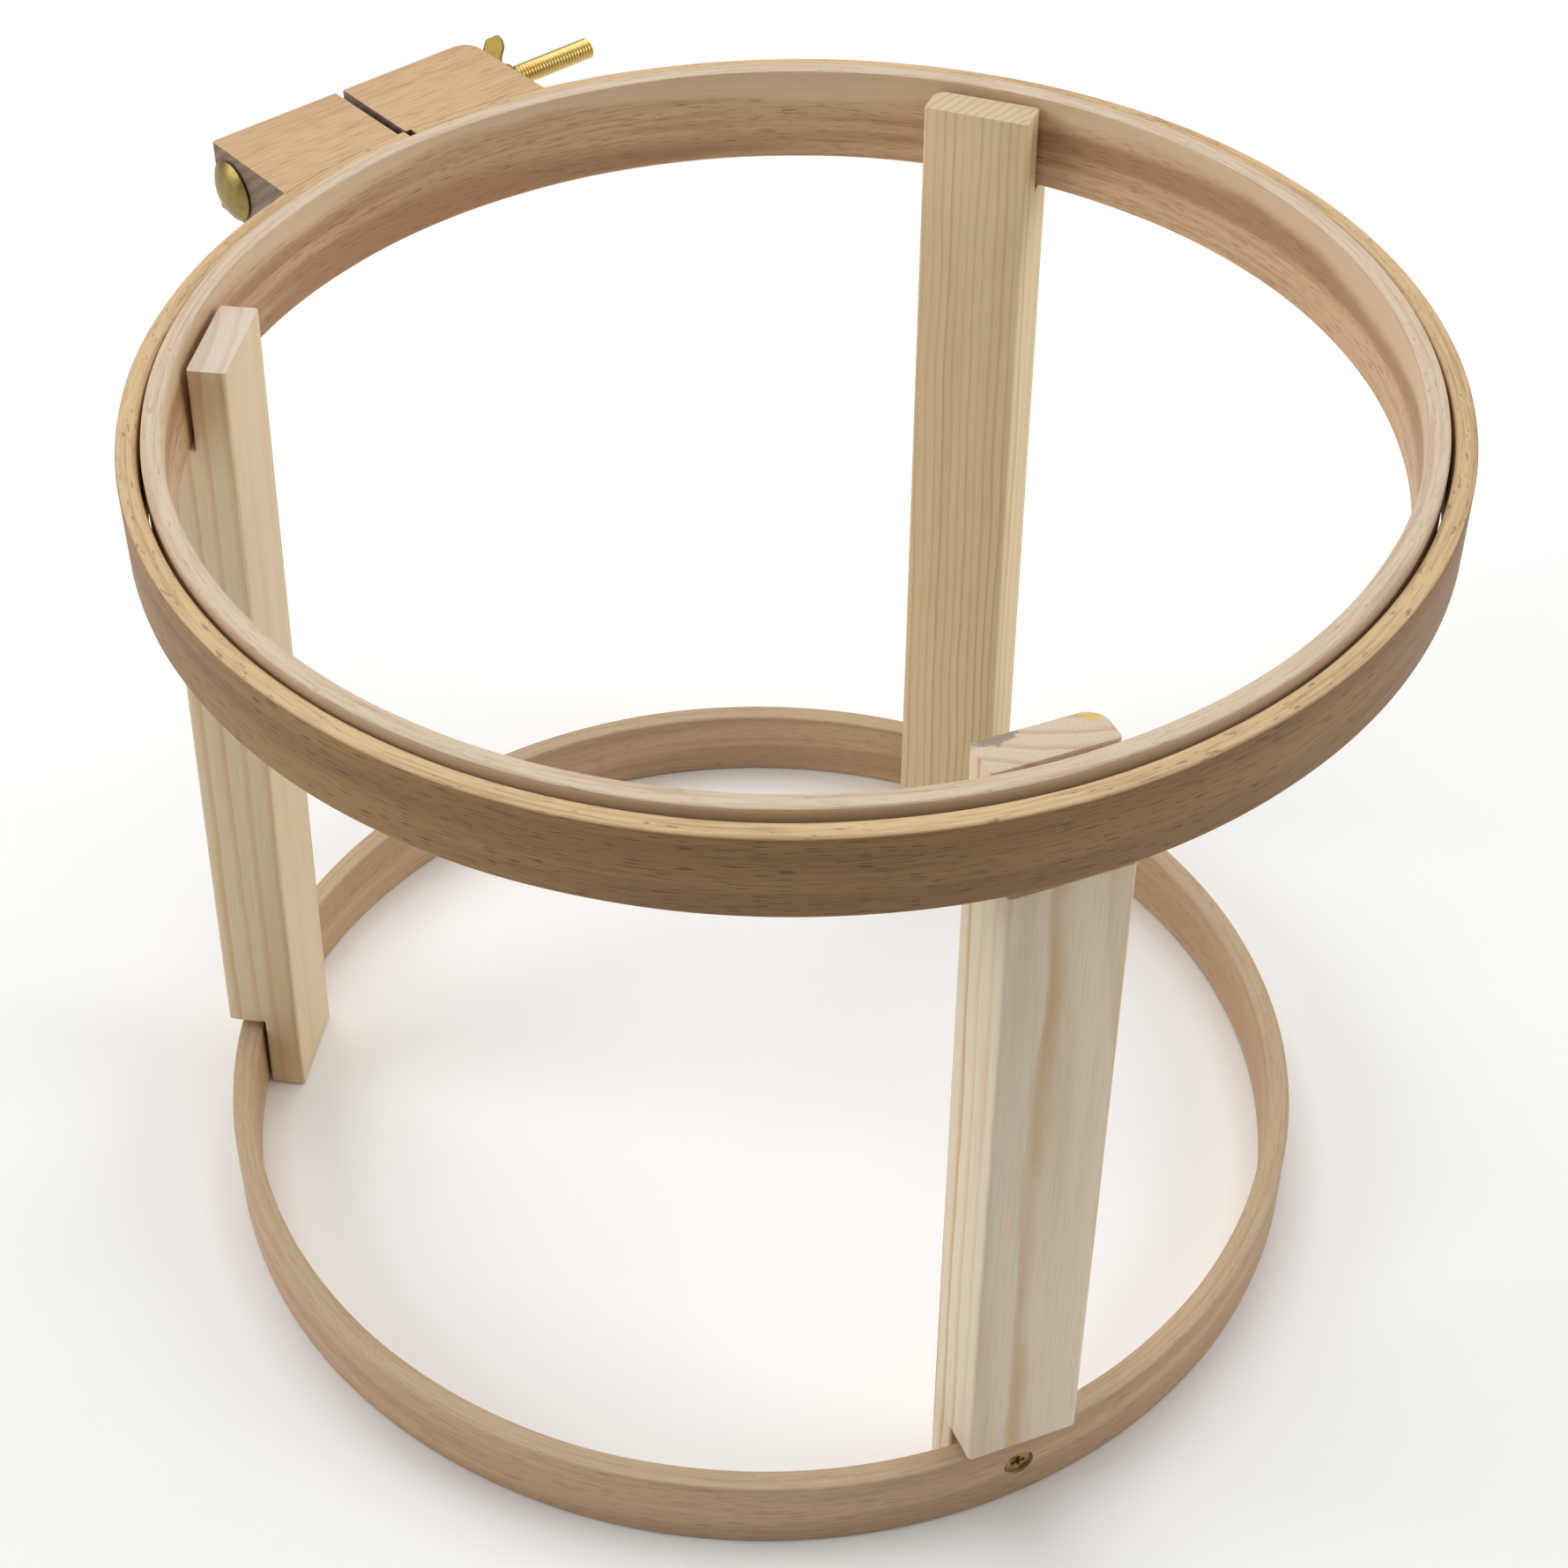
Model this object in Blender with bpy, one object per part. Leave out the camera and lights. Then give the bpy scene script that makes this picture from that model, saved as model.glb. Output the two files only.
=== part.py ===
"""Embroidery hoop on a three-post stand.

A pair of beech hoops, the inner one screwed to three pine posts, which stand on a beech base hoop. The outer
hoop is split, and a long brass carriage bolt draws its two clamp blocks together. Metres, +Z up. The bolt runs
along X, the clamp is on the +Y side, and the underside of the base hoop is at Z = 0.
"""

import math

import bmesh
import bpy
from mathutils import Matrix, Vector

MM = 0.001
GAP = 0.3 * MM  # clearance between pieces that touch
SEGMENTS = 96  # facets round each hoop
EDGE = 0.8 * MM  # softened edges of the wood

# The three hoops: outer radius, inner radius, lowest and highest level.
OUTER_RADIUS = 157.0 * MM
OUTER_WALL = 5.6 * MM
OUTER_LOW = 227.0 * MM
OUTER_HIGH = 249.0 * MM
INNER_RADIUS = OUTER_RADIUS - OUTER_WALL - GAP
INNER_WALL = 5.6 * MM
INNER_LOW = 224.5 * MM
INNER_HIGH = 251.0 * MM
BASE_RADIUS = 149.4 * MM
BASE_WALL = 6.4 * MM
BASE_HIGH = 22.0 * MM
BASE_SHIFT = Vector((-6.5 * MM, 4.6 * MM, 0.0))  # the base hoop sits a little off the axis of the pair

# The clamp: two blocks left and right of the saw cut, glued to the outer hoop.
CUT_WIDTH = 2.2 * MM
BLOCK_CUT_X = -1.7 * MM  # the blocks were sawn a little to one side of the band's own split
BLOCK_LEFT = -42.8 * MM
BLOCK_RIGHT = 41.8 * MM
BLOCK_REACH = 29.5 * MM  # from the outer hoop's outside to the blocks' outer face
BLOCK_LOW = 229.0 * MM
SHARP_CORNER = 1.5 * MM
ROUND_CORNER = 5.5 * MM

# The carriage bolt, its washer and its wing nut.
BOLT_OUT = 20.5 * MM  # from the outer hoop's outside to the bolt's axis
BOLT_RADIUS = 3.0 * MM
BOLT_LENGTH = 120.0 * MM
HEAD_RADIUS = 8.4 * MM
HEAD_HEIGHT = 3.2 * MM
NECK_SIDE = 6.5 * MM
NECK_LENGTH = 3.6 * MM
WASHER_RADIUS = 6.25 * MM
WASHER_THICK = 1.2 * MM
NUT_FOOT_RADIUS = 6.4 * MM
NUT_TOP_RADIUS = 4.9 * MM
NUT_HEIGHT = 8.0 * MM
WING_THICK = 2.6 * MM
WING_TURN = math.radians(24.0)  # how far one wing points up from +Y
# One wing, seen along the bolt's side: distance from the nut's foot, distance from the bolt's axis.
WING_OUTLINE = [(1.2, 4.0), (1.2, 6.4), (4.0, 11.6), (7.6, 14.5), (9.6, 15.6), (10.9, 15.0), (11.9, 12.4),
                (11.3, 10.6), (7.4, 7.0), (7.0, 4.0)]

# The posts: width along the hoop, the tongue that goes inside the hoops, the shoulder that stays outside.
POST_WIDTH = 29.2 * MM
TONGUE = 10.2 * MM
SHOULDER = 10.6 * MM
SHOULDER_CLEARANCE = 2.6 * MM  # from the base hoop's top up to a post's lower shoulder
POST_FIT = 0.8 * MM  # a post's tongue stands this far off the curved wall, so that its slant clears it
# Each post's bearing on the inner hoop and on the base hoop, the bearing that it faces (all in degrees from +X)
# and its top.
POSTS = {"left": (130.8, 132.1, 131.6, 247.2 * MM), "right": (27.6, 23.3, 28.5, 248.5 * MM),
         "front": (-108.4, -103.6, -107.4, 250.2 * MM)}

# The wood screws that hold the posts, driven in from outside.
SCREW_HEAD_RADIUS = 4.0 * MM
SCREW_RADIUS = 1.7 * MM
SCREW_LENGTH = 15.0 * MM
SCREW_SUNK = 0.7 * MM
RECESS_LENGTH = 4.2 * MM
RECESS_WIDTH = 1.1 * MM
RECESS_DEPTH = 1.5 * MM
BASE_SCREW_Z = 13.0 * MM
HOOP_SCREW_Z = 237.0 * MM

# Where things come to lie.
WING_REACH = max(out for _, out in WING_OUTLINE) * MM
TIP_REACH = BOLT_OUT + WING_REACH * math.cos(WING_TURN) + WING_THICK / 2 * math.sin(WING_TURN)
AXIS = Vector((0.0, -max(TIP_REACH, BLOCK_REACH) / 2, 0.0))  # the hoops' axis: the box is centred on the origin
BOLT_LEVEL = (OUTER_LOW + OUTER_HIGH) / 2
BOLT_AXIS = AXIS + Vector((0.0, OUTER_RADIUS + BOLT_OUT, BOLT_LEVEL))
HEAD_SEAT = BLOCK_LEFT - GAP
WASHER_X = BLOCK_RIGHT + GAP
NUT_X = WASHER_X + WASHER_THICK + GAP


def material(name: str, color: tuple, roughness: float, metallic: float = 0.0) -> bpy.types.Material:
    """A plain Principled material."""
    made = bpy.data.materials.new(name)
    made.use_nodes = True
    shader = made.node_tree.nodes["Principled BSDF"]
    shader.inputs["Base Color"].default_value = (*color, 1.0)
    shader.inputs["Roughness"].default_value = roughness
    shader.inputs["Metallic"].default_value = metallic
    return made


def finish(name: str, shape: bmesh.types.BMesh, look: bpy.types.Material, at: Vector = Vector()) -> bpy.types.Object:
    """Turn a closed shape, modelled round its own origin, into a named object at the given place."""
    bmesh.ops.recalc_face_normals(shape, faces=shape.faces)
    mesh = bpy.data.meshes.new(name)
    shape.to_mesh(mesh)
    shape.free()
    mesh.materials.append(look)
    mesh.shade_smooth()
    mesh.set_sharp_from_angle(angle=math.radians(35))
    made = bpy.data.objects.new(name, mesh)
    made.location = at
    bpy.context.scene.collection.objects.link(made)
    return made


def helper(made: bpy.types.Object) -> bpy.types.Object:
    """Mark an object as a cutter or a piece to join, which isn't part of the model by itself."""
    made.hide_render = True
    made.display_type = "WIRE"
    return made


def combine(target: bpy.types.Object, other: bpy.types.Object, operation: str = "DIFFERENCE") -> None:
    """Cut or join another object with a Boolean modifier."""
    step = target.modifiers.new(operation.title(), "BOOLEAN")
    step.operation = operation
    step.solver = "EXACT"
    step.object = helper(other)


def turned(outline: list, segments: int, closed: bool = False) -> bmesh.types.BMesh:
    """Turn an outline of (radius, height) points about Z; a closed outline makes a ring."""
    shape = bmesh.new()
    points = [shape.verts.new((radius, 0.0, height)) for radius, height in outline]
    edges = [shape.edges.new(pair) for pair in zip(points, points[1:])]
    if closed:
        edges.append(shape.edges.new((points[-1], points[0])))
    bmesh.ops.spin(shape, geom=points + edges, axis=(0, 0, 1), cent=(0, 0, 0), steps=segments,
                   angle=math.tau, use_merge=True)
    bmesh.ops.remove_doubles(shape, verts=shape.verts, dist=1e-6)
    return shape


def prism(outline: list, low: float, high: float) -> bmesh.types.BMesh:
    """Extrude a flat outline of (x, y) points from one level to another."""
    shape = bmesh.new()
    face = shape.faces.new([shape.verts.new((x, y, low)) for x, y in outline])
    moved = bmesh.ops.extrude_face_region(shape, geom=[face])["geom"]
    rim = [part for part in moved if isinstance(part, bmesh.types.BMVert)]
    bmesh.ops.translate(shape, verts=rim, vec=(0, 0, high - low))
    return shape


def box(size: tuple, middle: tuple = (0.0, 0.0, 0.0)) -> bmesh.types.BMesh:
    """A box with the given sides."""
    shape = bmesh.new()
    bmesh.ops.create_cube(shape, size=1.0)
    bmesh.ops.scale(shape, vec=size, verts=shape.verts)
    bmesh.ops.translate(shape, vec=middle, verts=shape.verts)
    return shape


def soften(shape: bmesh.types.BMesh, width: float) -> None:
    """Take the sharpness off a shape's outward edges."""
    bmesh.ops.recalc_face_normals(shape, faces=shape.faces)
    sharp = [edge for edge in shape.edges if edge.is_convex and edge.calc_face_angle(0.0) > math.radians(50)]
    bmesh.ops.bevel(shape, geom=sharp, offset=width, segments=2, profile=0.5, affect="EDGES", clamp_overlap=True)


def arc(centre: tuple, radius: float, start: float, end: float, steps: int) -> list:
    """Points along an arc, from one bearing in degrees to another."""
    bearings = [math.radians(start + (end - start) * n / steps) for n in range(steps + 1)]
    return [(centre[0] + radius * math.cos(a), centre[1] + radius * math.sin(a)) for a in bearings]


def direction(bearing: float) -> Vector:
    """The level direction at a bearing in degrees from +X."""
    return Vector((math.cos(math.radians(bearing)), math.sin(math.radians(bearing)), 0.0))


def hoop(name: str, outside: float, wall: float, low: float, high: float, at: Vector,
         look: bpy.types.Material) -> bpy.types.Object:
    """A bent wooden band with softened edges."""
    inside = outside - wall
    outline = [(inside + EDGE, low), (outside - EDGE, low), (outside, low + EDGE), (outside, high - EDGE),
               (outside - EDGE, high), (inside + EDGE, high), (inside, high - EDGE), (inside, low + EDGE)]
    return finish(name, turned(outline, SEGMENTS, closed=True), look, at)


def clamp_block(name: str, left: float, right: float, left_corner: float, right_corner: float,
                look: bpy.types.Material) -> bpy.types.Object:
    """A clamp block: straight on three sides, hollowed on the fourth to fit the outer hoop."""
    face = OUTER_RADIUS + BLOCK_REACH
    seat = OUTER_RADIUS + GAP
    start = math.degrees(math.acos(left / seat))
    end = math.degrees(math.acos(right / seat))
    steps = max(2, round(abs(start - end) / (360 / SEGMENTS)))
    outline = arc((0.0, 0.0), seat / math.cos(math.pi / SEGMENTS), start, end, steps)
    outline[0] = (left, outline[0][1])
    outline[-1] = (right, outline[-1][1])
    outline += arc((right - right_corner, face - right_corner), right_corner, 0, 90, 5)
    outline += arc((left + left_corner, face - left_corner), left_corner, 90, 180, 5)
    shape = prism(outline, BLOCK_LOW, OUTER_HIGH)
    return finish(name, shape, look, AXIS)


def along_x(shape: bmesh.types.BMesh) -> bmesh.types.BMesh:
    """Lay a shape that was turned about Z along +X."""
    bmesh.ops.transform(shape, matrix=Matrix.Rotation(math.pi / 2, 4, "Y"), verts=shape.verts)
    return shape


def rod(radius: float, start: float, end: float, segments: int = 24) -> bmesh.types.BMesh:
    """A plain round bar along +X."""
    return along_x(turned([(0.0, start), (radius, start), (radius, end), (0.0, end)], segments))


def clamp(wood: bpy.types.Material) -> None:
    """The split outer hoop and the two blocks that the bolt goes through."""
    band = hoop("outer_hoop", OUTER_RADIUS, OUTER_WALL, OUTER_LOW, OUTER_HIGH, AXIS, wood)
    middle = AXIS + Vector((0.0, OUTER_RADIUS - OUTER_WALL / 2, BOLT_LEVEL))
    saw = box((CUT_WIDTH, 3 * OUTER_WALL, 2 * (OUTER_HIGH - OUTER_LOW)))
    combine(band, finish("band_saw_cut", saw, wood, middle))
    head_side = clamp_block("clamp_block_head", BLOCK_LEFT, BLOCK_CUT_X - CUT_WIDTH / 2, SHARP_CORNER,
                            SHARP_CORNER / 2, wood)
    nut_side = clamp_block("clamp_block_nut", BLOCK_CUT_X + CUT_WIDTH / 2, BLOCK_RIGHT, SHARP_CORNER / 2,
                           ROUND_CORNER, wood)
    bore = rod(BOLT_RADIUS + GAP, BLOCK_LEFT - 5 * MM, BLOCK_RIGHT + 5 * MM)
    bore = finish("bolt_bore", bore, wood, BOLT_AXIS)
    combine(head_side, bore)
    combine(nut_side, bore)
    side = NECK_SIDE + 2 * GAP
    depth = NECK_LENGTH + GAP
    pocket = box((2 * depth, side, side), (BLOCK_LEFT, 0.0, 0.0))
    combine(head_side, finish("neck_pocket", pocket, wood, BOLT_AXIS))


def bolt(metal: bpy.types.Material) -> None:
    """The carriage bolt: a low domed head, a square neck and a long shank."""
    sphere = (HEAD_RADIUS**2 + HEAD_HEIGHT**2) / (2 * HEAD_HEIGHT)
    steps = 6
    half = math.asin(HEAD_RADIUS / sphere)
    dome = [(sphere * math.sin(half * n / steps), sphere - HEAD_HEIGHT - sphere * math.cos(half * n / steps))
            for n in range(steps + 1)]
    dome[0] = (0.0, -HEAD_HEIGHT)
    end = BOLT_LENGTH
    tip = 0.8 * MM
    outline = dome + [(BOLT_RADIUS, 0.0), (BOLT_RADIUS, end - tip), (BOLT_RADIUS - tip, end), (0.0, end)]
    at = BOLT_AXIS + Vector((HEAD_SEAT, 0.0, 0.0))
    body = finish("carriage_bolt", along_x(turned(outline, 24)), metal, at)
    under_head = 0.5 * MM
    neck = box((NECK_LENGTH + under_head, NECK_SIDE, NECK_SIDE), ((NECK_LENGTH - under_head) / 2, 0.0, 0.0))
    combine(body, finish("bolt_neck", neck, metal, at), "UNION")


def washer(metal: bpy.types.Material) -> None:
    """The flat washer under the wing nut."""
    inside = BOLT_RADIUS + GAP
    outline = [(inside, 0.0), (WASHER_RADIUS, 0.0), (WASHER_RADIUS, WASHER_THICK), (inside, WASHER_THICK)]
    shape = along_x(turned(outline, 24, closed=True))
    finish("bolt_washer", shape, metal, BOLT_AXIS + Vector((WASHER_X, 0.0, 0.0)))


def wing_nut(metal: bpy.types.Material) -> None:
    """The wing nut: a tapered hub with two flared wings."""
    at = BOLT_AXIS + Vector((NUT_X, 0.0, 0.0))
    rim = 0.6 * MM
    outline = [(0.0, 0.0), (NUT_FOOT_RADIUS - rim, 0.0), (NUT_FOOT_RADIUS, rim), (NUT_TOP_RADIUS, NUT_HEIGHT),
               (0.0, NUT_HEIGHT)]
    hub = finish("wing_nut", along_x(turned(outline, 24)), metal, at)
    for side in (0.0, math.pi):
        wing = prism([(x * MM, y * MM) for x, y in WING_OUTLINE], -WING_THICK / 2, WING_THICK / 2)
        bmesh.ops.transform(wing, matrix=Matrix.Rotation(WING_TURN + side, 4, "X"), verts=wing.verts)
        combine(hub, finish("wing", wing, metal, at), "UNION")
    thread = rod(BOLT_RADIUS + GAP, -NUT_HEIGHT, 2 * NUT_HEIGHT)
    combine(hub, finish("nut_bore", thread, metal, at))


def contact(radius: float, skew: float) -> float:
    """How far out a flat face of the post's width can stand inside a round wall, turned by skew radians."""
    half = POST_WIDTH / 2
    return math.sqrt(radius**2 - (half * math.cos(skew)) ** 2) - half * abs(math.sin(skew)) - POST_FIT


def post_feet(name: str) -> tuple:
    """Where a post's tongue face meets the inner hoop and the base hoop, each at its screw's level."""
    high_bearing, low_bearing, facing, _ = POSTS[name]
    high_skew = math.radians(facing - high_bearing)
    low_skew = math.radians(facing - low_bearing)
    high = AXIS + direction(high_bearing) * contact(INNER_RADIUS - INNER_WALL, high_skew)
    low = AXIS + BASE_SHIFT + direction(low_bearing) * contact(BASE_RADIUS - BASE_WALL, low_skew)
    return high + Vector((0, 0, HOOP_SCREW_Z)), low + Vector((0, 0, BASE_SCREW_Z))


def post(name: str, wood: bpy.types.Material) -> bpy.types.Object:
    """A square post, notched at both ends, that leans a little between its two fixings."""
    high, low = post_feet(name)
    lean = (high - low) / (high.z - low.z)
    facing, top = POSTS[name][2:]
    shelf = BASE_HIGH + SHOULDER_CLEARANCE
    ledge = INNER_LOW - GAP
    side_view = [(-TONGUE, GAP), (0.0, GAP), (0.0, shelf), (SHOULDER, shelf), (SHOULDER, ledge), (0.0, ledge),
                 (0.0, top), (-TONGUE, top)]
    shape = prism(side_view, -POST_WIDTH / 2, POST_WIDTH / 2)
    soften(shape, EDGE)
    out = direction(facing)
    along = Vector((-out.y, out.x, 0.0))
    start = low - lean * low.z
    frame = Matrix((out, lean, -along)).transposed().to_4x4()
    bmesh.ops.transform(shape, matrix=Matrix.Translation(start) @ frame, verts=shape.verts)
    return finish(f"{name}_post", shape, wood)


def screw_outline(extra: float) -> list:
    """A countersunk screw, head first along +Z, grown by some clearance."""
    head = SCREW_HEAD_RADIUS + extra
    shank = SCREW_RADIUS + extra
    rim = 0.4 * MM
    cone = rim + SCREW_HEAD_RADIUS - SCREW_RADIUS
    top = -2 * MM if extra else 0.0
    return [(0.0, top), (head, top), (head, rim), (shank, cone), (shank, SCREW_LENGTH - 3 * MM),
            (0.3 * MM + extra, SCREW_LENGTH + extra), (0.0, SCREW_LENGTH + extra)]


def screw(name: str, head: Vector, into: Vector, wood_pieces: list, metal: bpy.types.Material) -> None:
    """A wood screw with a cross recess, and the holes that it needs."""
    turn = into.to_track_quat("Z", "Y").to_matrix().to_4x4()
    body = turned(screw_outline(0.0), 16)
    bmesh.ops.transform(body, matrix=turn, verts=body.verts)
    made = finish(name, body, metal, head)
    for sides in ((RECESS_LENGTH, RECESS_WIDTH), (RECESS_WIDTH, RECESS_LENGTH)):
        arm = box((*sides, 2 * RECESS_DEPTH))
        bmesh.ops.transform(arm, matrix=turn, verts=arm.verts)
        combine(made, finish(f"{name}_recess", arm, metal, head))
    hole = turned(screw_outline(GAP), 16)
    bmesh.ops.transform(hole, matrix=turn, verts=hole.verts)
    cutter = finish(f"{name}_hole", hole, metal, head)
    for piece in wood_pieces:
        combine(piece, cutter)


def stand(beech: bpy.types.Material, pine: bpy.types.Material, metal: bpy.types.Material) -> None:
    """The inner hoop, the base hoop, the posts between them and their screws."""
    inner = hoop("inner_hoop", INNER_RADIUS, INNER_WALL, INNER_LOW, INNER_HIGH, AXIS, beech)
    base = hoop("base_hoop", BASE_RADIUS, BASE_WALL, 0.0, BASE_HIGH, AXIS + BASE_SHIFT, beech)
    for name, (high_bearing, low_bearing, _, _) in POSTS.items():
        upright = post(name, pine)
        out = direction(high_bearing)
        head = AXIS + out * (INNER_RADIUS - SCREW_SUNK) + Vector((0, 0, HOOP_SCREW_Z))
        screw(f"hoop_screw_{name}", head, -out, [inner, upright], metal)
        out = direction(low_bearing)
        head = AXIS + BASE_SHIFT + out * (BASE_RADIUS - SCREW_SUNK) + Vector((0, 0, BASE_SCREW_Z))
        screw(f"base_screw_{name}", head, -out, [base, upright], metal)


def main() -> None:
    """Clear the scene and model the object."""
    for old in list(bpy.data.objects):
        bpy.data.objects.remove(old)
    outer_beech = material("outer_beech", (0.55, 0.34, 0.17), 0.5)
    inner_beech = material("inner_beech", (0.58, 0.40, 0.25), 0.55)
    pine = material("pine", (0.72, 0.56, 0.34), 0.6)
    brass = material("brass", (0.70, 0.55, 0.22), 0.35, 1.0)
    clamp(outer_beech)
    bolt(brass)
    washer(brass)
    wing_nut(brass)
    stand(inner_beech, pine, brass)


main()
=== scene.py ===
"""The finished looks of an embroidery hoop on its stand.

Two bent beech hoops grip the fabric, three pine posts carry them, and a third beech hoop is the foot. A
brass carriage bolt with a wing nut draws the outer hoop's two clamp blocks together. Every piece is modelled
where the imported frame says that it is, in metres with +Z up, and takes the place of the frame's plain solid.
"""

import logging
import math
from collections.abc import Callable, Iterator
from contextlib import contextmanager
from dataclasses import dataclass, field
from enum import Enum

import bmesh
import bpy
from mathutils import Euler, Matrix, Vector, noise


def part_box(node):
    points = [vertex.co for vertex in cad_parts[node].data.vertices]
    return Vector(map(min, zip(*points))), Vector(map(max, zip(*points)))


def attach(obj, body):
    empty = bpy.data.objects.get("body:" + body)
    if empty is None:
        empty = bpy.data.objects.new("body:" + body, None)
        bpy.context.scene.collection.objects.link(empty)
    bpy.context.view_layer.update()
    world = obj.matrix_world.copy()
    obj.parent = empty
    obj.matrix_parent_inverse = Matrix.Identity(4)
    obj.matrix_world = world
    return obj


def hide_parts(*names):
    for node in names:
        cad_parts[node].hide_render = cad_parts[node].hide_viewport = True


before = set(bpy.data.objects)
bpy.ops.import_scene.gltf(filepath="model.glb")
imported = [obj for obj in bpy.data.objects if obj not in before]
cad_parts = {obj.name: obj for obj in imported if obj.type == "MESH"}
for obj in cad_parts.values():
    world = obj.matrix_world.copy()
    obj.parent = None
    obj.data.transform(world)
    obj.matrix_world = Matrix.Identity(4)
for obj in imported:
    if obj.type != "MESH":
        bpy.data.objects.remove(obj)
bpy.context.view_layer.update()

MM = 0.001
SAME_POINT = 0.001 * MM  # points nearer than this are one point
SHARP = math.radians(30)  # an edge that turns less than this needs no rounding
PAST = 1.0 * MM  # how far a cutter runs past the face that it opens
SANDING_SEED = 12  # which of many hands did the sanding
log = logging.getLogger("embroidery_hoop")


class Body(Enum):
    """The bodies of the frame that pieces ride on."""

    STAND = "stand"
    CLAMP_HOOP = "clamp_hoop"
    WASHER = "washer"
    NUT = "nut"


# --------------------------------------------------------------------------------------------------
# The workbench: modelling by hand, one operator at a time
# --------------------------------------------------------------------------------------------------


class Bench:
    """One piece on the bench, with the tools that shape it."""

    def __init__(self, piece: bpy.types.Object) -> None:
        """Take a piece onto the bench.

        Args:
            piece: the object to work on.
        """
        self.piece = piece

    @classmethod
    def pick_up(cls, name: str, scale: Vector | None = None) -> "Bench":
        """Name the primitive that was just added and settle it.

        Args:
            name: the piece's name.
            scale: how far the primitive is stretched along X, Y and Z.

        Returns:
            The bench with that piece on it.
        """
        piece = bpy.context.object
        piece.name = name
        piece.data.name = name
        if scale is not None:
            piece.scale = scale
        made = cls(piece)
        made.settle()
        return made

    @classmethod
    def block(cls, name: str, low: Vector, high: Vector) -> "Bench":
        """Start from a squared block.

        Args:
            name: the piece's name.
            low: its lowest corner.
            high: its highest corner.

        Returns:
            The block on the bench.
        """
        bpy.ops.object.select_all(action="DESELECT")
        bpy.ops.mesh.primitive_cube_add(size=1.0, location=(low + high) / 2)
        return cls.pick_up(name, high - low)

    @classmethod
    def turned(cls, name: str, stations: list[tuple[float, float]], segments: int) -> "Bench":
        """Turn a solid round Z: a disc is extruded and scaled from one station to the next.

        Args:
            name: the piece's name.
            stations: its radius and height at each station, from one end to the other.
            segments: how many sides the turning has.

        Returns:
            The turning on the bench, standing on the world's axis.
        """
        radius, height = stations[0]
        bpy.ops.object.select_all(action="DESELECT")
        bpy.ops.mesh.primitive_circle_add(vertices=segments, radius=radius, fill_type="NGON",
                                          location=(0.0, 0.0, height))
        made = cls.pick_up(name)
        with made.editing():
            bpy.ops.mesh.select_all(action="SELECT")
            for wider, higher in stations[1:]:
                rise = {"value": (0.0, 0.0, higher - height)}
                bpy.ops.mesh.extrude_region_move(TRANSFORM_OT_translate=rise)
                grown = wider / radius
                bpy.ops.transform.resize(value=(grown, grown, 1.0), center_override=(0.0, 0.0, higher))
                radius, height = wider, higher
        made.face_outwards()
        return made

    @classmethod
    def lofted(cls, name: str, sections: list[list[Vector]]) -> "Bench":
        """Draw a four-sided bar through a row of sections.

        Args:
            name: the piece's name.
            sections: the four corners of each section, in the same order round each.

        Returns:
            The bar on the bench.
        """
        bpy.ops.object.select_all(action="DESELECT")
        bpy.ops.mesh.primitive_plane_add(size=1.0)
        made = cls.pick_up(name)
        with made.editing():
            bpy.ops.mesh.select_all(action="SELECT")
            made.place_selected(sections[0])
            for section in sections[1:]:
                bpy.ops.mesh.extrude_region_move()
                made.place_selected(section)
        made.face_outwards()
        return made

    @contextmanager
    def editing(self, kind: str = "FACE") -> Iterator[None]:
        """Work on the piece in edit mode.

        Args:
            kind: what is selected there: VERT, EDGE or FACE.
        """
        self.alone()
        bpy.ops.object.mode_set(mode="EDIT")
        bpy.ops.mesh.select_mode(type=kind)
        yield
        bpy.ops.object.mode_set(mode="OBJECT")

    def alone(self) -> None:
        """Select this piece and nothing else."""
        bpy.ops.object.select_all(action="DESELECT")
        self.piece.select_set(True)
        bpy.context.view_layer.objects.active = self.piece

    def place_selected(self, corners: list[Vector]) -> None:
        """Move the selected face's corners to the given places, in the order they run round it.

        Args:
            corners: a place for each corner.
        """
        mesh = bmesh.from_edit_mesh(self.piece.data)
        face = next(face for face in mesh.faces if face.select)
        for corner, place in zip(face.verts, corners):
            corner.co = place
        bmesh.update_edit_mesh(self.piece.data)

    def pick_faces(self, wanted: Callable[[bmesh.types.BMFace], bool]) -> None:
        """Select faces, in edit mode.

        Args:
            wanted: says whether a face is picked.
        """
        mesh = bmesh.from_edit_mesh(self.piece.data)
        for face in mesh.faces:
            face.select_set(wanted(face))
        bmesh.update_edit_mesh(self.piece.data)

    def pick_edges(self, wanted: Callable[[bmesh.types.BMEdge], bool]) -> None:
        """Select edges, in edit mode.

        Args:
            wanted: says whether an edge is picked.
        """
        mesh = bmesh.from_edit_mesh(self.piece.data)
        bpy.ops.mesh.select_all(action="DESELECT")
        for edge in mesh.edges:
            if wanted(edge):
                edge.select_set(True)
        bmesh.update_edit_mesh(self.piece.data)

    def face_outwards(self) -> None:
        """Merge doubled points and turn every face outwards."""
        with self.editing():
            bpy.ops.mesh.select_all(action="SELECT")
            bpy.ops.mesh.remove_doubles(threshold=SAME_POINT)
            bpy.ops.mesh.normals_make_consistent(inside=False)

    def settle(self) -> None:
        """Write the piece's place, turn and scale into its mesh."""
        self.alone()
        bpy.ops.object.transform_apply(location=True, rotation=True, scale=True)

    def move(self, matrix: Matrix) -> None:
        """Carry the piece to its place.

        Args:
            matrix: the place, which may also slant the piece.
        """
        self.piece.data.transform(matrix)
        self.piece.data.update()

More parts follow.
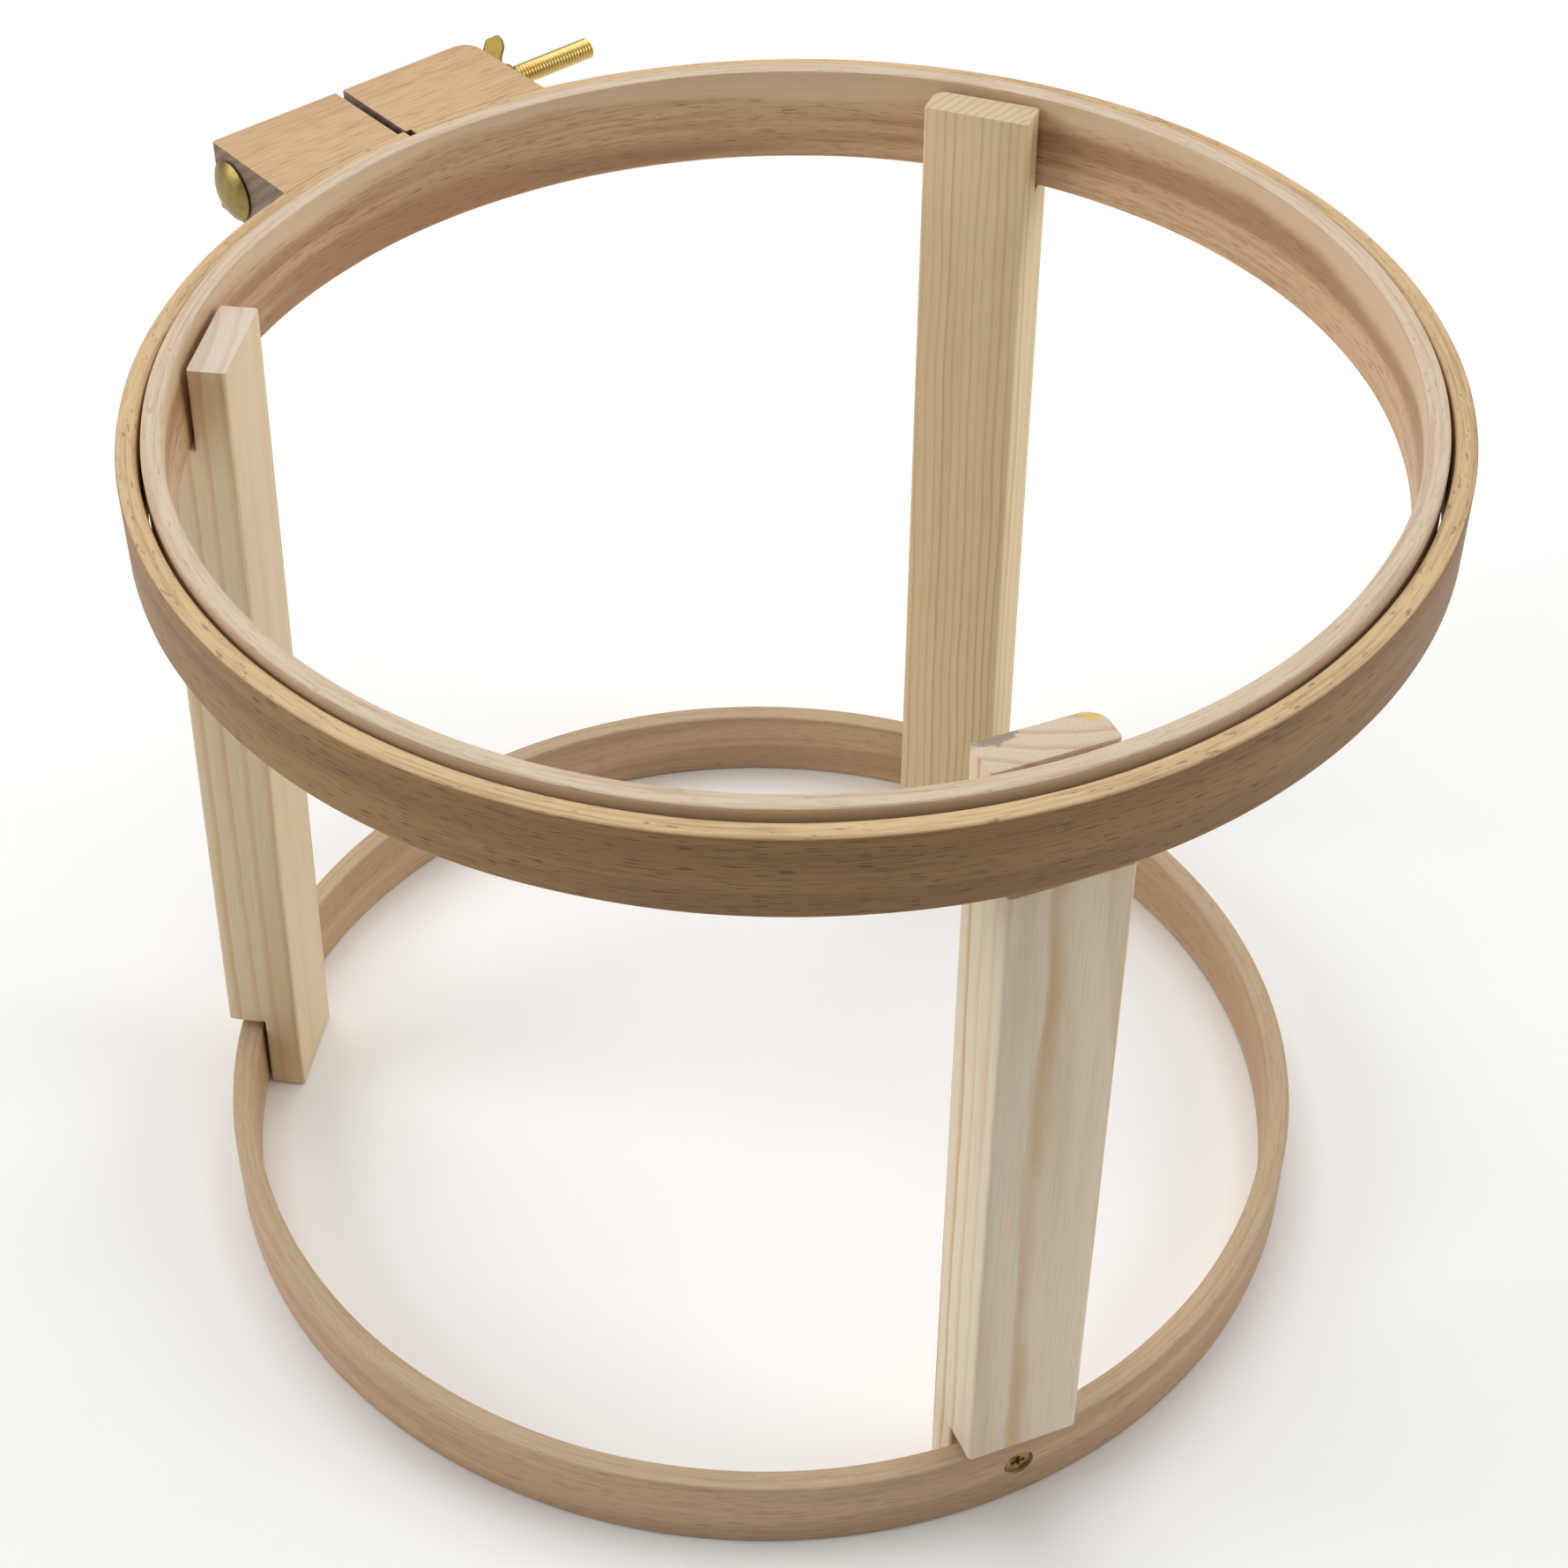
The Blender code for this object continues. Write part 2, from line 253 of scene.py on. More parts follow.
    def soften(self, width: float, wanted: Callable[[bmesh.types.BMEdge], bool], segments: int = 3) -> None:
        """Round over the outward edges that are asked for.

        Args:
            width: how far the rounding reaches from the edge.
            wanted: says which edges are rounded.
            segments: how many facets the rounding has.
        """
        with self.editing("EDGE"):
            self.pick_edges(lambda edge: edge.is_convex and edge.calc_face_angle(0.0) > SHARP
                            and wanted(edge))
            bpy.ops.mesh.bevel(offset=width, segments=segments, profile=0.5, affect="EDGES",
                               clamp_overlap=True)

    def with_modifier(self, kind: str, **settings: object) -> None:
        """Add a modifier and apply it.

        Args:
            kind: the modifier's type.
            settings: its settings by name.
        """
        step = self.piece.modifiers.new(kind.title(), kind)
        for name, value in settings.items():
            setattr(step, name, value)
        self.alone()
        bpy.ops.object.modifier_apply(modifier=step.name)

    def cut(self, tool: "Bench", keep: bool = False) -> None:
        """Cut another shape out of the piece.

        Args:
            tool: the shape that is cut away.
            keep: whether the tool is needed again.
        """
        self.with_modifier("BOOLEAN", operation="DIFFERENCE", solver="EXACT", object=tool.piece)
        if not keep:
            tool.discard()

    def join(self, other: "Bench") -> None:
        """Grow another shape onto the piece.

        Args:
            other: the shape that becomes part of it.
        """
        self.with_modifier("BOOLEAN", operation="UNION", solver="EXACT", object=other.piece)
        other.discard()

    def copy(self, name: str) -> "Bench":
        """Copy the piece with a mesh of its own.

        Args:
            name: the copy's name.

        Returns:
            The copy on the bench.
        """
        twin = self.piece.copy()
        twin.data = self.piece.data.copy()
        twin.name = name
        bpy.context.scene.collection.objects.link(twin)
        return Bench(twin)

    def discard(self) -> None:
        """Throw the piece away."""
        mesh = self.piece.data
        bpy.data.objects.remove(self.piece)
        bpy.data.meshes.remove(mesh)

    def hand_sand(self, depth: float, length: float, about: Vector) -> None:
        """Make the piece a little uneven, as sanding by hand leaves it.

        Args:
            depth: how far a point may move.
            length: how long one swell is.
            about: a point that keeps the unevenness of two pieces different.
        """
        for point in self.piece.data.vertices:
            point.co += noise.noise_vector((point.co - about) / length) * depth

    def finish(self, coat: bpy.types.Material, body: Body, node: str, slot: str,
               smooth: float = 32.0) -> None:
        """Give the piece its material and its place among the frame's bodies.

        Args:
            coat: the material it wears.
            body: the body that it moves with.
            node: the frame's plain solid that it stands for.
            slot: the name of the material slot that it belongs to; not used.
            smooth: the steepest edge, in degrees, that is still shaded smooth.
        """
        self.alone()
        bpy.ops.object.shade_smooth_by_angle(angle=math.radians(smooth))
        self.piece.data.materials.clear()
        self.piece.data.materials.append(coat)
        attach(self.piece, body.value)
        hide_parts(node)
        log.info("%s: %d faces, rides on %s", self.piece.name, len(self.piece.data.polygons), body.value)


# --------------------------------------------------------------------------------------------------
# Finishes
# --------------------------------------------------------------------------------------------------


def linear(code: str) -> tuple[float, float, float, float]:
    """Turn an sRGB hex colour into a linear one.

    Args:
        code: the colour as six hex digits.

    Returns:
        Red, green, blue and an alpha of 1.
    """
    parts = [int(code[n:n + 2], 16) / 255 for n in (0, 2, 4)]
    return (*[p / 12.92 if p <= 0.04045 else ((p + 0.055) / 1.055) ** 2.4 for p in parts], 1.0)


def add(tree: bpy.types.NodeTree, kind: str, inputs: dict | None = None,
        **settings: object) -> bpy.types.Node:
    """Add a shader node, set it up and wire it.

    Args:
        tree: the material's nodes.
        kind: the node's type, without the ShaderNode that every type starts with.
        inputs: what each input takes, by name or number: another node's output, or a value.
        settings: the node's own settings.

    Returns:
        The new node.
    """
    made = tree.nodes.new("ShaderNode" + kind)
    for name, value in settings.items():
        setattr(made, name, value)
    for key, value in (inputs or {}).items():
        if isinstance(value, bpy.types.NodeSocket):
            tree.links.new(value, made.inputs[key])
        else:
            made.inputs[key].default_value = value
    return made


class Grain:
    """The figure of one piece of wood, drawn layer by layer over its grain coordinates in millimetres."""

    def __init__(self, tree: bpy.types.NodeTree, run: bpy.types.NodeSocket) -> None:
        """Start drawing.

        Args:
            tree: the material's nodes.
            run: the coordinates, of which X runs along the grain.
        """
        self.tree = tree
        self.run = run
        self.layers = 0

    def layer(self, along: float, across: float, detail: float = 2.0) -> bpy.types.NodeSocket:
        """Draw a random layer of blotches that are stretched along the grain.

        Args:
            along: the blotches' length in millimetres.
            across: their width in millimetres.
            detail: how much finer structure they hold.

        Returns:
            The layer, from 0 to 1 and mostly near 0.5.
        """
        self.layers += 1
        apart = (17.3 * self.layers, 5.1 * self.layers, 29.7 * self.layers)  # so that no two layers match
        spread = add(self.tree, "VectorMath", {0: self.run, 1: (1 / along, 1 / across, 1 / across), 2: apart},
                     operation="MULTIPLY_ADD")
        blotch = add(self.tree, "TexNoise", {"Vector": spread.outputs[0], "Scale": 1.0, "Detail": detail})
        return blotch.outputs[0]

    def where(self, layer: bpy.types.NodeSocket, start: float, full: float) -> bpy.types.NodeSocket:
        """Mark the places where a layer lies past a level.

        Args:
            layer: the layer that is read.
            start: the level at which the mark begins.
            full: the level at which the mark is complete.

        Returns:
            The mark, from 0 to 1.
        """
        mark = add(self.tree, "MapRange", {"Value": layer, "From Min": start, "From Max": full},
                   interpolation_type="SMOOTHSTEP")
        return mark.outputs[0]

    def times(self, one: bpy.types.NodeSocket, other: bpy.types.NodeSocket | float) -> bpy.types.NodeSocket:
        """Multiply two marks, or weaken one mark."""
        return add(self.tree, "Math", {0: one, 1: other}, operation="MULTIPLY").outputs[0]

    def stain(self, ground: bpy.types.NodeSocket | tuple, code: str,
              mark: bpy.types.NodeSocket) -> bpy.types.NodeSocket:
        """Lay a colour over the ground where a mark is.

        Args:
            ground: the colour underneath.
            code: the colour laid over it, in sRGB hex.
            mark: where, and how strongly.

        Returns:
            The new colour.
        """
        mixed = add(self.tree, "Mix", {0: mark, 6: ground, 7: linear(code)}, data_type="RGBA")
        return mixed.outputs[2]


def facing(tree: bpy.types.NodeTree, axis: str, start: float, full: float) -> bpy.types.NodeSocket:
    """Mark the surfaces that face along an axis, either way.

    Args:
        tree: the material's nodes.
        axis: X, Y or Z.
        start: the part of the normal along the axis at which the mark begins.
        full: the part at which it is complete.

    Returns:
        The mark, from 0 to 1.
    """
    normal = add(tree, "SeparateXYZ", {0: add(tree, "NewGeometry").outputs["Normal"]})
    size = add(tree, "Math", {0: normal.outputs[axis]}, operation="ABSOLUTE")
    mark = add(tree, "MapRange", {"Value": size.outputs[0], "From Min": start, "From Max": full},
               interpolation_type="SMOOTHSTEP")
    return mark.outputs[0]


def local_mm(tree: bpy.types.NodeTree, place: Vector, turn: float) -> bpy.types.NodeSocket:
    """Object coordinates in millimetres from a place, turned about Z.

    Args:
        tree: the material's nodes.
        place: where zero is.
        turn: the bearing of the new X axis, in radians.

    Returns:
        The coordinates.
    """
    spot = add(tree, "TexCoord").outputs["Object"]
    moved = add(tree, "Mapping", {"Vector": spot, "Location": place, "Rotation": (0.0, 0.0, turn),
                                  "Scale": (MM, MM, MM)}, vector_type="TEXTURE")
    return moved.outputs[0]


def surface(name: str) -> tuple[bpy.types.Material, bpy.types.NodeTree, bpy.types.Node]:
    """Make an empty material.

    Args:
        name: its name.

    Returns:
        The material, its nodes and its shader.
    """
    made = bpy.data.materials.new(name)
    made.use_nodes = True
    return made, made.node_tree, made.node_tree.nodes["Principled BSDF"]


@dataclass(frozen=True)
class Beech:
    """Steamed beech, planed and sanded, with no varnish.

    It is a close, even, pinkish wood. Its short dark flecks are the medullary rays cut across, and on an edge
    they turn to small brown dots. Sanded wood is matt, and a little smoother on its fibres than between them.
    """

    name: str
    face: str
    dusk: str
    edge: str
    fleck: str
    fleck_strength: float = 0.75
    band_strength: float = 0.5
    dot_strength: float = 0.40
    wave_strength: float = 0.20
    streak_strength: float = 0.42
    smoothest: float = 0.46
    roughest: float = 0.66

    def dress(self, tree: bpy.types.NodeTree, shader: bpy.types.Node, grain: Grain,
              edge_mark: bpy.types.NodeSocket) -> bpy.types.NodeSocket:
        """Draw the wood's figure.

        Args:
            tree: the material's nodes.
            shader: the shader that takes the colour and the roughness.
            grain: the grain to draw on.
            edge_mark: where the surface is an edge of the board, and not its face.

        Returns:
            The colour, which is already wired to the shader.
        """
        # Each layer takes its figure's length and width in millimetres, and how much finer detail it holds.
        bands = grain.where(grain.layer(260.0, 9.0, 1.0), 0.40, 0.62)
        streaks = grain.where(grain.layer(42.0, 1.1, 3.0), 0.44, 0.72)
        fibres = grain.layer(9.0, 0.30, 2.0)  # real fibres are finer; these are as coarse as shows
        dashes = grain.where(grain.layer(5.0, 0.32, 0.0), 0.620, 0.760)
        dots = grain.where(grain.layer(3.6, 0.80, 1.0), 0.640, 0.760)
        waves = grain.where(grain.layer(8.0, 0.50, 1.5), 0.500, 0.680)
        colour = grain.stain(linear(self.face), self.dusk, grain.times(bands, self.band_strength))
        colour = grain.stain(colour, self.dusk, grain.times(streaks, self.streak_strength))
        colour = grain.stain(colour, self.fleck, grain.times(grain.where(fibres, 0.52, 0.78), 0.30))
        colour = grain.stain(colour, self.fleck, grain.times(dashes, self.fleck_strength))
        edges = grain.stain(linear(self.edge), self.dusk, grain.times(streaks, 0.38))
        edges = grain.stain(edges, self.dusk, grain.times(waves, self.wave_strength))
        edges = grain.stain(edges, self.fleck, grain.times(grain.where(fibres, 0.50, 0.80), 0.22))
        edges = grain.stain(edges, self.fleck, grain.times(dots, self.dot_strength))
        both = add(tree, "Mix", {0: edge_mark, 6: colour, 7: edges}, data_type="RGBA").outputs[2]
        tree.links.new(both, shader.inputs["Base Color"])
        rough = add(tree, "MapRange", {"Value": fibres, "To Min": self.smoothest, "To Max": self.roughest})
        tree.links.new(rough.outputs[0], shader.inputs["Roughness"])
        sunk = grain.times(dashes, 0.5)
        pores = add(tree, "Math", {0: fibres, 1: sunk}, operation="SUBTRACT")
        relief = add(tree, "Bump", {"Height": pores.outputs[0], "Strength": 0.30, "Distance": 0.07 * MM})
        tree.links.new(relief.outputs[0], shader.inputs["Normal"])
        return both


@dataclass(frozen=True)
class BentBeech(Beech):
    """Beech bent into a hoop, so that its grain runs round the hoop.

    The upper part of each wall is painted paler. This is a painted highlight that stands in for the light from
    above, which falls more on the top of the wall. The band fades in between two heights in millimetres, and
    its edge waves up and down.
    """

    # Painted highlight: the paler colour painted along the top of each wall, for the light that falls there
    # from above.
    painted_highlight: str = "dcc19e"
    painted_highlight_strength: float = 0.0
    painted_highlight_wave: float = 16.0
    painted_highlight_fade: tuple[float, float] = (251.0, 255.0)

    def material(self, centre: Vector, radius: float, seam: float) -> bpy.types.Material:
        """Make the material for one hoop.

        Args:
            centre: the hoop's centre.
            radius: its radius.
            seam: the bearing, in radians, at which the grain's two ends meet.

        Returns:
            The material.
        """
        made, tree, shader = surface(self.name)
        run = local_mm(tree, Vector((centre.x, centre.y, 0.0)), seam + math.pi)
        x, y, z = add(tree, "SeparateXYZ", {0: run}).outputs
        bearing = add(tree, "Math", {0: y, 1: x}, operation="ARCTAN2").outputs[0]
        along = add(tree, "Math", {0: bearing, 1: radius / MM}, operation="MULTIPLY").outputs[0]
        flat = add(tree, "CombineXYZ", {0: x, 1: y}).outputs[0]
        out = add(tree, "VectorMath", {0: flat}, operation="LENGTH").outputs["Value"]
        grain = Grain(tree, add(tree, "CombineXYZ", {0: along, 1: z, 2: out}).outputs[0])
        top = facing(tree, "Z", 0.30, 0.85)
        colour = self.dress(tree, shader, grain, top)
        # Painted highlight: each wall is painted paler towards its top, where more light from above falls. The
        # band's lower edge waves up and down.
        waver = add(tree, "Math", {0: grain.layer(90.0, 30.0, 2.0), 1: self.painted_highlight_wave, 2: z},
                    operation="MULTIPLY_ADD").outputs[0]
        painted_highlight_mask = grain.times(grain.where(waver, *self.painted_highlight_fade), grain.where(top, 0.5, 0.0))
        colour = grain.stain(colour, self.painted_highlight, grain.times(painted_highlight_mask, self.painted_highlight_strength))
        tree.links.new(colour, shader.inputs["Base Color"])
        return made


@dataclass(frozen=True)
class SawnBeech(Beech):
    """Straight beech whose grain runs along X, with sawn end grain."""

    end: str = "8a735c"
    end_ring: str = "5f4a39"

    def material(self) -> bpy.types.Material:
        """Make the material for both clamp blocks.

        Returns:
            The material.
        """
        made, tree, shader = surface(self.name)
        run = local_mm(tree, Vector(), 0.0)
        grain = Grain(tree, run)
        colour = self.dress(tree, shader, grain, facing(tree, "Z", 0.3, 0.9))
        # End grain: growth rings cross it as slanting stripes, and the saw leaves it dull.
        spread = add(tree, "VectorMath", {0: run, 1: (0.0, 0.42, 0.55)}, operation="MULTIPLY")
        slant = {"Vector": spread.outputs[0], "Scale": 0.30, "Distortion": 1.2, "Detail": 1.0}
        rings = add(tree, "TexWave", slant, bands_direction="DIAGONAL")
        ends = grain.stain(linear(self.end), self.end_ring, grain.times(rings.outputs["Fac"], 0.6))
        ends = grain.stain(ends, self.end_ring, grain.where(grain.layer(0.6, 0.6, 1.0), 0.55, 0.75))
        mark = facing(tree, "X", 0.5, 0.85)
        both = add(tree, "Mix", {0: mark, 6: colour, 7: ends}, data_type="RGBA").outputs[2]
        tree.links.new(both, shader.inputs["Base Color"])
        return made


@dataclass(frozen=True)
class BlemishAndHighlight:
    """A discoloured place in a piece of wood, or a patch of painted highlight on it.

    Its place and its half sizes are in millimetres, in the piece's own directions.
    """

    place: tuple[float, float, float]
    size: tuple[float, float, float]
    colour: str

    def lay(self, grain: Grain, local: bpy.types.NodeSocket,
            ground: bpy.types.NodeSocket) -> bpy.types.NodeSocket:
        """Lay the patch over a colour.

        Args:
            grain: the grain that it is drawn on.
            local: the piece's coordinates in millimetres.
            ground: the colour underneath.

        Returns:
            The new colour.
        """
        moved = add(grain.tree, "VectorMath", {0: local, 1: self.place}, operation="SUBTRACT").outputs[0]
        scaled = add(grain.tree, "VectorMath", {0: moved, 1: self.size}, operation="DIVIDE").outputs[0]
        reach = add(grain.tree, "VectorMath", {0: scaled}, operation="LENGTH").outputs["Value"]
        ragged = add(grain.tree, "Math", {0: grain.layer(1.4, 1.4, 3.0), 1: 1.4, 2: reach},
                     operation="MULTIPLY_ADD").outputs[0]
        return grain.stain(ground, self.colour, grain.times(grain.where(ragged, 1.85, 1.35), 0.85))


@dataclass(frozen=True)
class Pine:
    """Planed pine or spruce, with no varnish.

    Each growth ring fades from cream early wood to a thin orange line of late wood. The rings are cylinders
    round the tree's pith, so that a face shows lines or arches and an end shows bands. The rings' spacing and
    the pith's place from the post's foot are in millimetres, and the slope is the pith's drift up the post.
    """

    name: str
    early: str
    late: str
    end: str
    end_late: str
    spacing: float
    pith: tuple[float, float]
    slope: tuple[float, float]
    blemishes_and_highlights: tuple[BlemishAndHighlight, ...] = ()

    def material(self, place: Vector, bearing: float, lean: Vector) -> bpy.types.Material:
        """Make the material for one post.

        Args:
            place: the post's foot, at the middle of its tongue's outer face.
            bearing: the way that face looks, in radians.
            lean: how far the post moves for each unit that it rises.

        Returns:
            The material.
        """
        made, tree, shader = surface(self.name)
        upright = local_mm(tree, place, bearing)
        height = add(tree, "SeparateXYZ", {0: upright}).outputs["Z"]
        slant = Matrix.Rotation(-bearing, 3, "Z") @ Vector((lean.x, lean.y, 0.0))
        local = add(tree, "VectorMath", {0: height, 1: -slant, 2: upright},
                    operation="MULTIPLY_ADD").outputs[0]
        x, y, z = add(tree, "SeparateXYZ", {0: local}).outputs
        grain = Grain(tree, add(tree, "CombineXYZ", {0: z, 1: x, 2: y}).outputs[0])
        sides = []
        for side, pith, slope in zip((x, y), self.pith, self.slope):
            drift = add(tree, "Math", {0: z, 1: slope, 2: pith}, operation="MULTIPLY_ADD").outputs[0]
            sides.append(add(tree, "Math", {0: side, 1: drift}, operation="SUBTRACT").outputs[0])
        away = add(tree, "CombineXYZ", {0: sides[0], 1: sides[1]}).outputs[0]
        reach = add(tree, "VectorMath", {0: away}, operation="LENGTH").outputs["Value"]
        waver = add(tree, "Math", {0: grain.layer(70.0, 14.0, 2.0), 1: 3.5, 2: reach},
                    operation="MULTIPLY_ADD").outputs[0]
        years = add(tree, "Math", {0: waver, 1: self.spacing}, operation="DIVIDE").outputs[0]
        season = add(tree, "Math", {0: years}, operation="FRACT").outputs[0]
        line = grain.times(grain.where(season, 0.52, 0.92), grain.where(season, 1.0, 0.93))
        weight = grain.where(grain.layer(300.0, 5.0, 0.0), 0.25, 0.75)
        depth = add(tree, "MapRange", {"Value": weight, "To Min": 0.25, "To Max": 0.85}).outputs[0]
        fibres = grain.layer(16.0, 0.35, 2.0)  # real fibres are finer; these are as coarse as shows
        colour = grain.stain(linear(self.early), self.late, grain.times(line, depth))
        colour = grain.stain(colour, self.late, grain.times(grain.where(fibres, 0.50, 0.80), 0.34))
        clouds = grain.where(grain.layer(120.0, 7.0, 1.0), 0.45, 0.7)
        colour = grain.stain(colour, self.late, grain.times(clouds, 0.22))
        speck = grain.where(grain.layer(0.5, 0.5, 1.0), 0.48, 0.75)
        ends = grain.stain(linear(self.end), self.end_late, grain.times(line, 0.55))
        ends = grain.stain(ends, self.end_late, grain.times(speck, 0.35))
        mark = facing(tree, "Z", 0.6, 0.85)
        both = add(tree, "Mix", {0: mark, 6: colour, 7: ends}, data_type="RGBA").outputs[2]
        # Blemishes, and patches of painted highlight, are laid over the wood's colour.
        for patch in self.blemishes_and_highlights:
            both = patch.lay(grain, local, both)
        tree.links.new(both, shader.inputs["Base Color"])
        rough = add(tree, "MapRange", {"Value": fibres, "To Min": 0.50, "To Max": 0.68})
        tree.links.new(rough.outputs[0], shader.inputs["Roughness"])
        ridges = add(tree, "Math", {0: line, 1: 0.6, 2: fibres}, operation="MULTIPLY_ADD").outputs[0]
        relief = add(tree, "Bump", {"Height": ridges, "Strength": 0.35, "Distance": 0.08 * MM})
        tree.links.new(relief.outputs[0], shader.inputs["Normal"])
        return made


@dataclass(frozen=True)
class Brass:
    """Brass fastener metal.

    A pressed head is satin, a rolled thread is bright, a casting is matt and grainy, and an old screw is dull
    and brown where dirt stays. The bright metal begins at a place along X, in millimetres.
    """

    name: str
    metal: str
    tarnish: str
    roughness: float
    spots: float
    bump: float
    bright: str = "dac281"
    bright_from: float = 1000.0

    def material(self) -> bpy.types.Material:
        """Make the material.

        Returns:
            The material.
        """
        made, tree, shader = surface(self.name)
        run = local_mm(tree, Vector(), 0.0)
        grain = Grain(tree, run)
        clouds = grain.where(grain.layer(2.6, 2.6, 3.0), 0.42, 0.70)
        pits = grain.layer(0.35, 0.35, 2.0)
        colour = grain.stain(linear(self.metal), self.tarnish, grain.times(clouds, self.spots))
        level = add(tree, "SeparateXYZ", {0: run}).outputs["X"]
        rolled = grain.where(level, self.bright_from, self.bright_from + 4.0)
        colour = grain.stain(colour, self.bright, rolled)
        tree.links.new(colour, shader.inputs["Base Color"])
        rough = add(tree, "MapRange", {"Value": pits, "To Min": self.roughness - 0.08,
                                       "To Max": self.roughness + 0.12})
        tree.links.new(rough.outputs[0], shader.inputs["Roughness"])
        relief = add(tree, "Bump", {"Height": pits, "Strength": 0.4, "Distance": self.bump * MM})
        tree.links.new(relief.outputs[0], shader.inputs["Normal"])
        shader.inputs["Metallic"].default_value = 1.0
        return made


OUTER_BEECH = BentBeech("steamed_beech_outer_hoop", "9a7441", "75502a", "d7b688", "55341c", 0.80, 0.45, 0.50)
# The inner hoop's walls carry the painted highlight along their top.
INNER_BEECH = BentBeech("steamed_beech_inner_hoop", "cfab83", "a27752", "d5c1a7", "7c5030", 0.55, 0.85, 0.30,
                        painted_highlight_strength=0.75)
BASE_BEECH = BentBeech("steamed_beech_base_hoop", "c8a683", "a3805d", "bfa685", "7e5a3e", 0.40, 0.45, 0.30)
BLOCK_BEECH = SawnBeech("sawn_beech_clamp_blocks", "ceab82", "b08455", "d0ae87", "8c6038", 0.40, 0.35, 0.0,
                        wave_strength=0.60)
HEAD_BRASS = Brass("pressed_brass_bolt", "95834d", "6d5e37", 0.36, 0.40, 0.02, bright_from=36.0)
NUT_BRASS = Brass("cast_brass_wing_nut", "988143", "7f6f38", 0.46, 0.40, 0.05)
SCREW_BRASS = Brass("old_brass_screw", "b0975f", "4c4029", 0.48, 0.70, 0.04)


# --------------------------------------------------------------------------------------------------
# The sub-assemblies
# --------------------------------------------------------------------------------------------------


def direction(bearing: float) -> Vector:
    """The level direction at a bearing from +X, in degrees."""
    return Vector((math.cos(math.radians(bearing)), math.sin(math.radians(bearing)), 0.0))


def along_x(start: Vector) -> Matrix:
    """The place of a turning that is laid along +X from a point."""
    return Matrix.Translation(start) @ Matrix.Rotation(math.pi / 2, 4, "Y")


@dataclass
class Hoop:
    """A bent beech band with rounded arrises, sanded by hand."""

    node: str
    slot: str
    body: Body
    finish: BentBeech
    wall: float
    seam: float
    arris: float = 1.0 * MM
    planed: float = 0.0
    sanded: float = 0.08 * MM
    swell: float = 26 * MM
    steps: int = 288

    def __post_init__(self) -> None:
        """Read the hoop's place from the frame."""
        low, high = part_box(self.node)
        self.low = low.z
        self.high = high.z
        self.centre = Vector(((low.x + high.x) / 2, (low.y + high.y) / 2, 0.0))
        self.outer = (high.x - low.x) / 2 - self.planed
        self.inner = self.outer - self.wall

    def build(self) -> Bench:
        """Spin the band's section round the hoop's axis.

        Returns:
            The band on the bench.
        """
        middle = Vector((self.centre.x + self.outer - self.wall / 2, self.centre.y,
                         (self.low + self.high) / 2))
        bpy.ops.object.select_all(action="DESELECT")
        bpy.ops.mesh.primitive_plane_add(size=1.0, location=middle, rotation=(math.pi / 2, 0.0, 0.0))
        # The section is drawn a little small, so that the sanding's unevenness stays inside the band's sizes.
        spare = 2 * self.sanded
        section = Vector((self.wall - spare, self.high - self.low - spare, 1.0))
        band = Bench.pick_up(self.node + "_bent", section)
        with band.editing("VERT"):
            bpy.ops.mesh.select_all(action="SELECT")
            bpy.ops.mesh.bevel(offset=self.arris, segments=4, profile=0.5, affect="VERTICES")
            bpy.ops.mesh.select_all(action="SELECT")
            bpy.ops.mesh.delete(type="ONLY_FACE")
            bpy.ops.mesh.select_all(action="SELECT")
            bpy.ops.mesh.spin(steps=self.steps, angle=math.tau, center=self.centre, axis=(0.0, 0.0, 1.0))
        band.face_outwards()
        band.hand_sand(self.sanded, self.swell, Vector((0.0, 0.0, self.low * 3)))
        return band

    def dress(self, band: Bench) -> None:
        """Give the band its wood and its body."""
        coat = self.finish.material(self.centre, (self.outer + self.inner) / 2, math.radians(self.seam))
        band.finish(coat, self.body, self.node, self.slot)


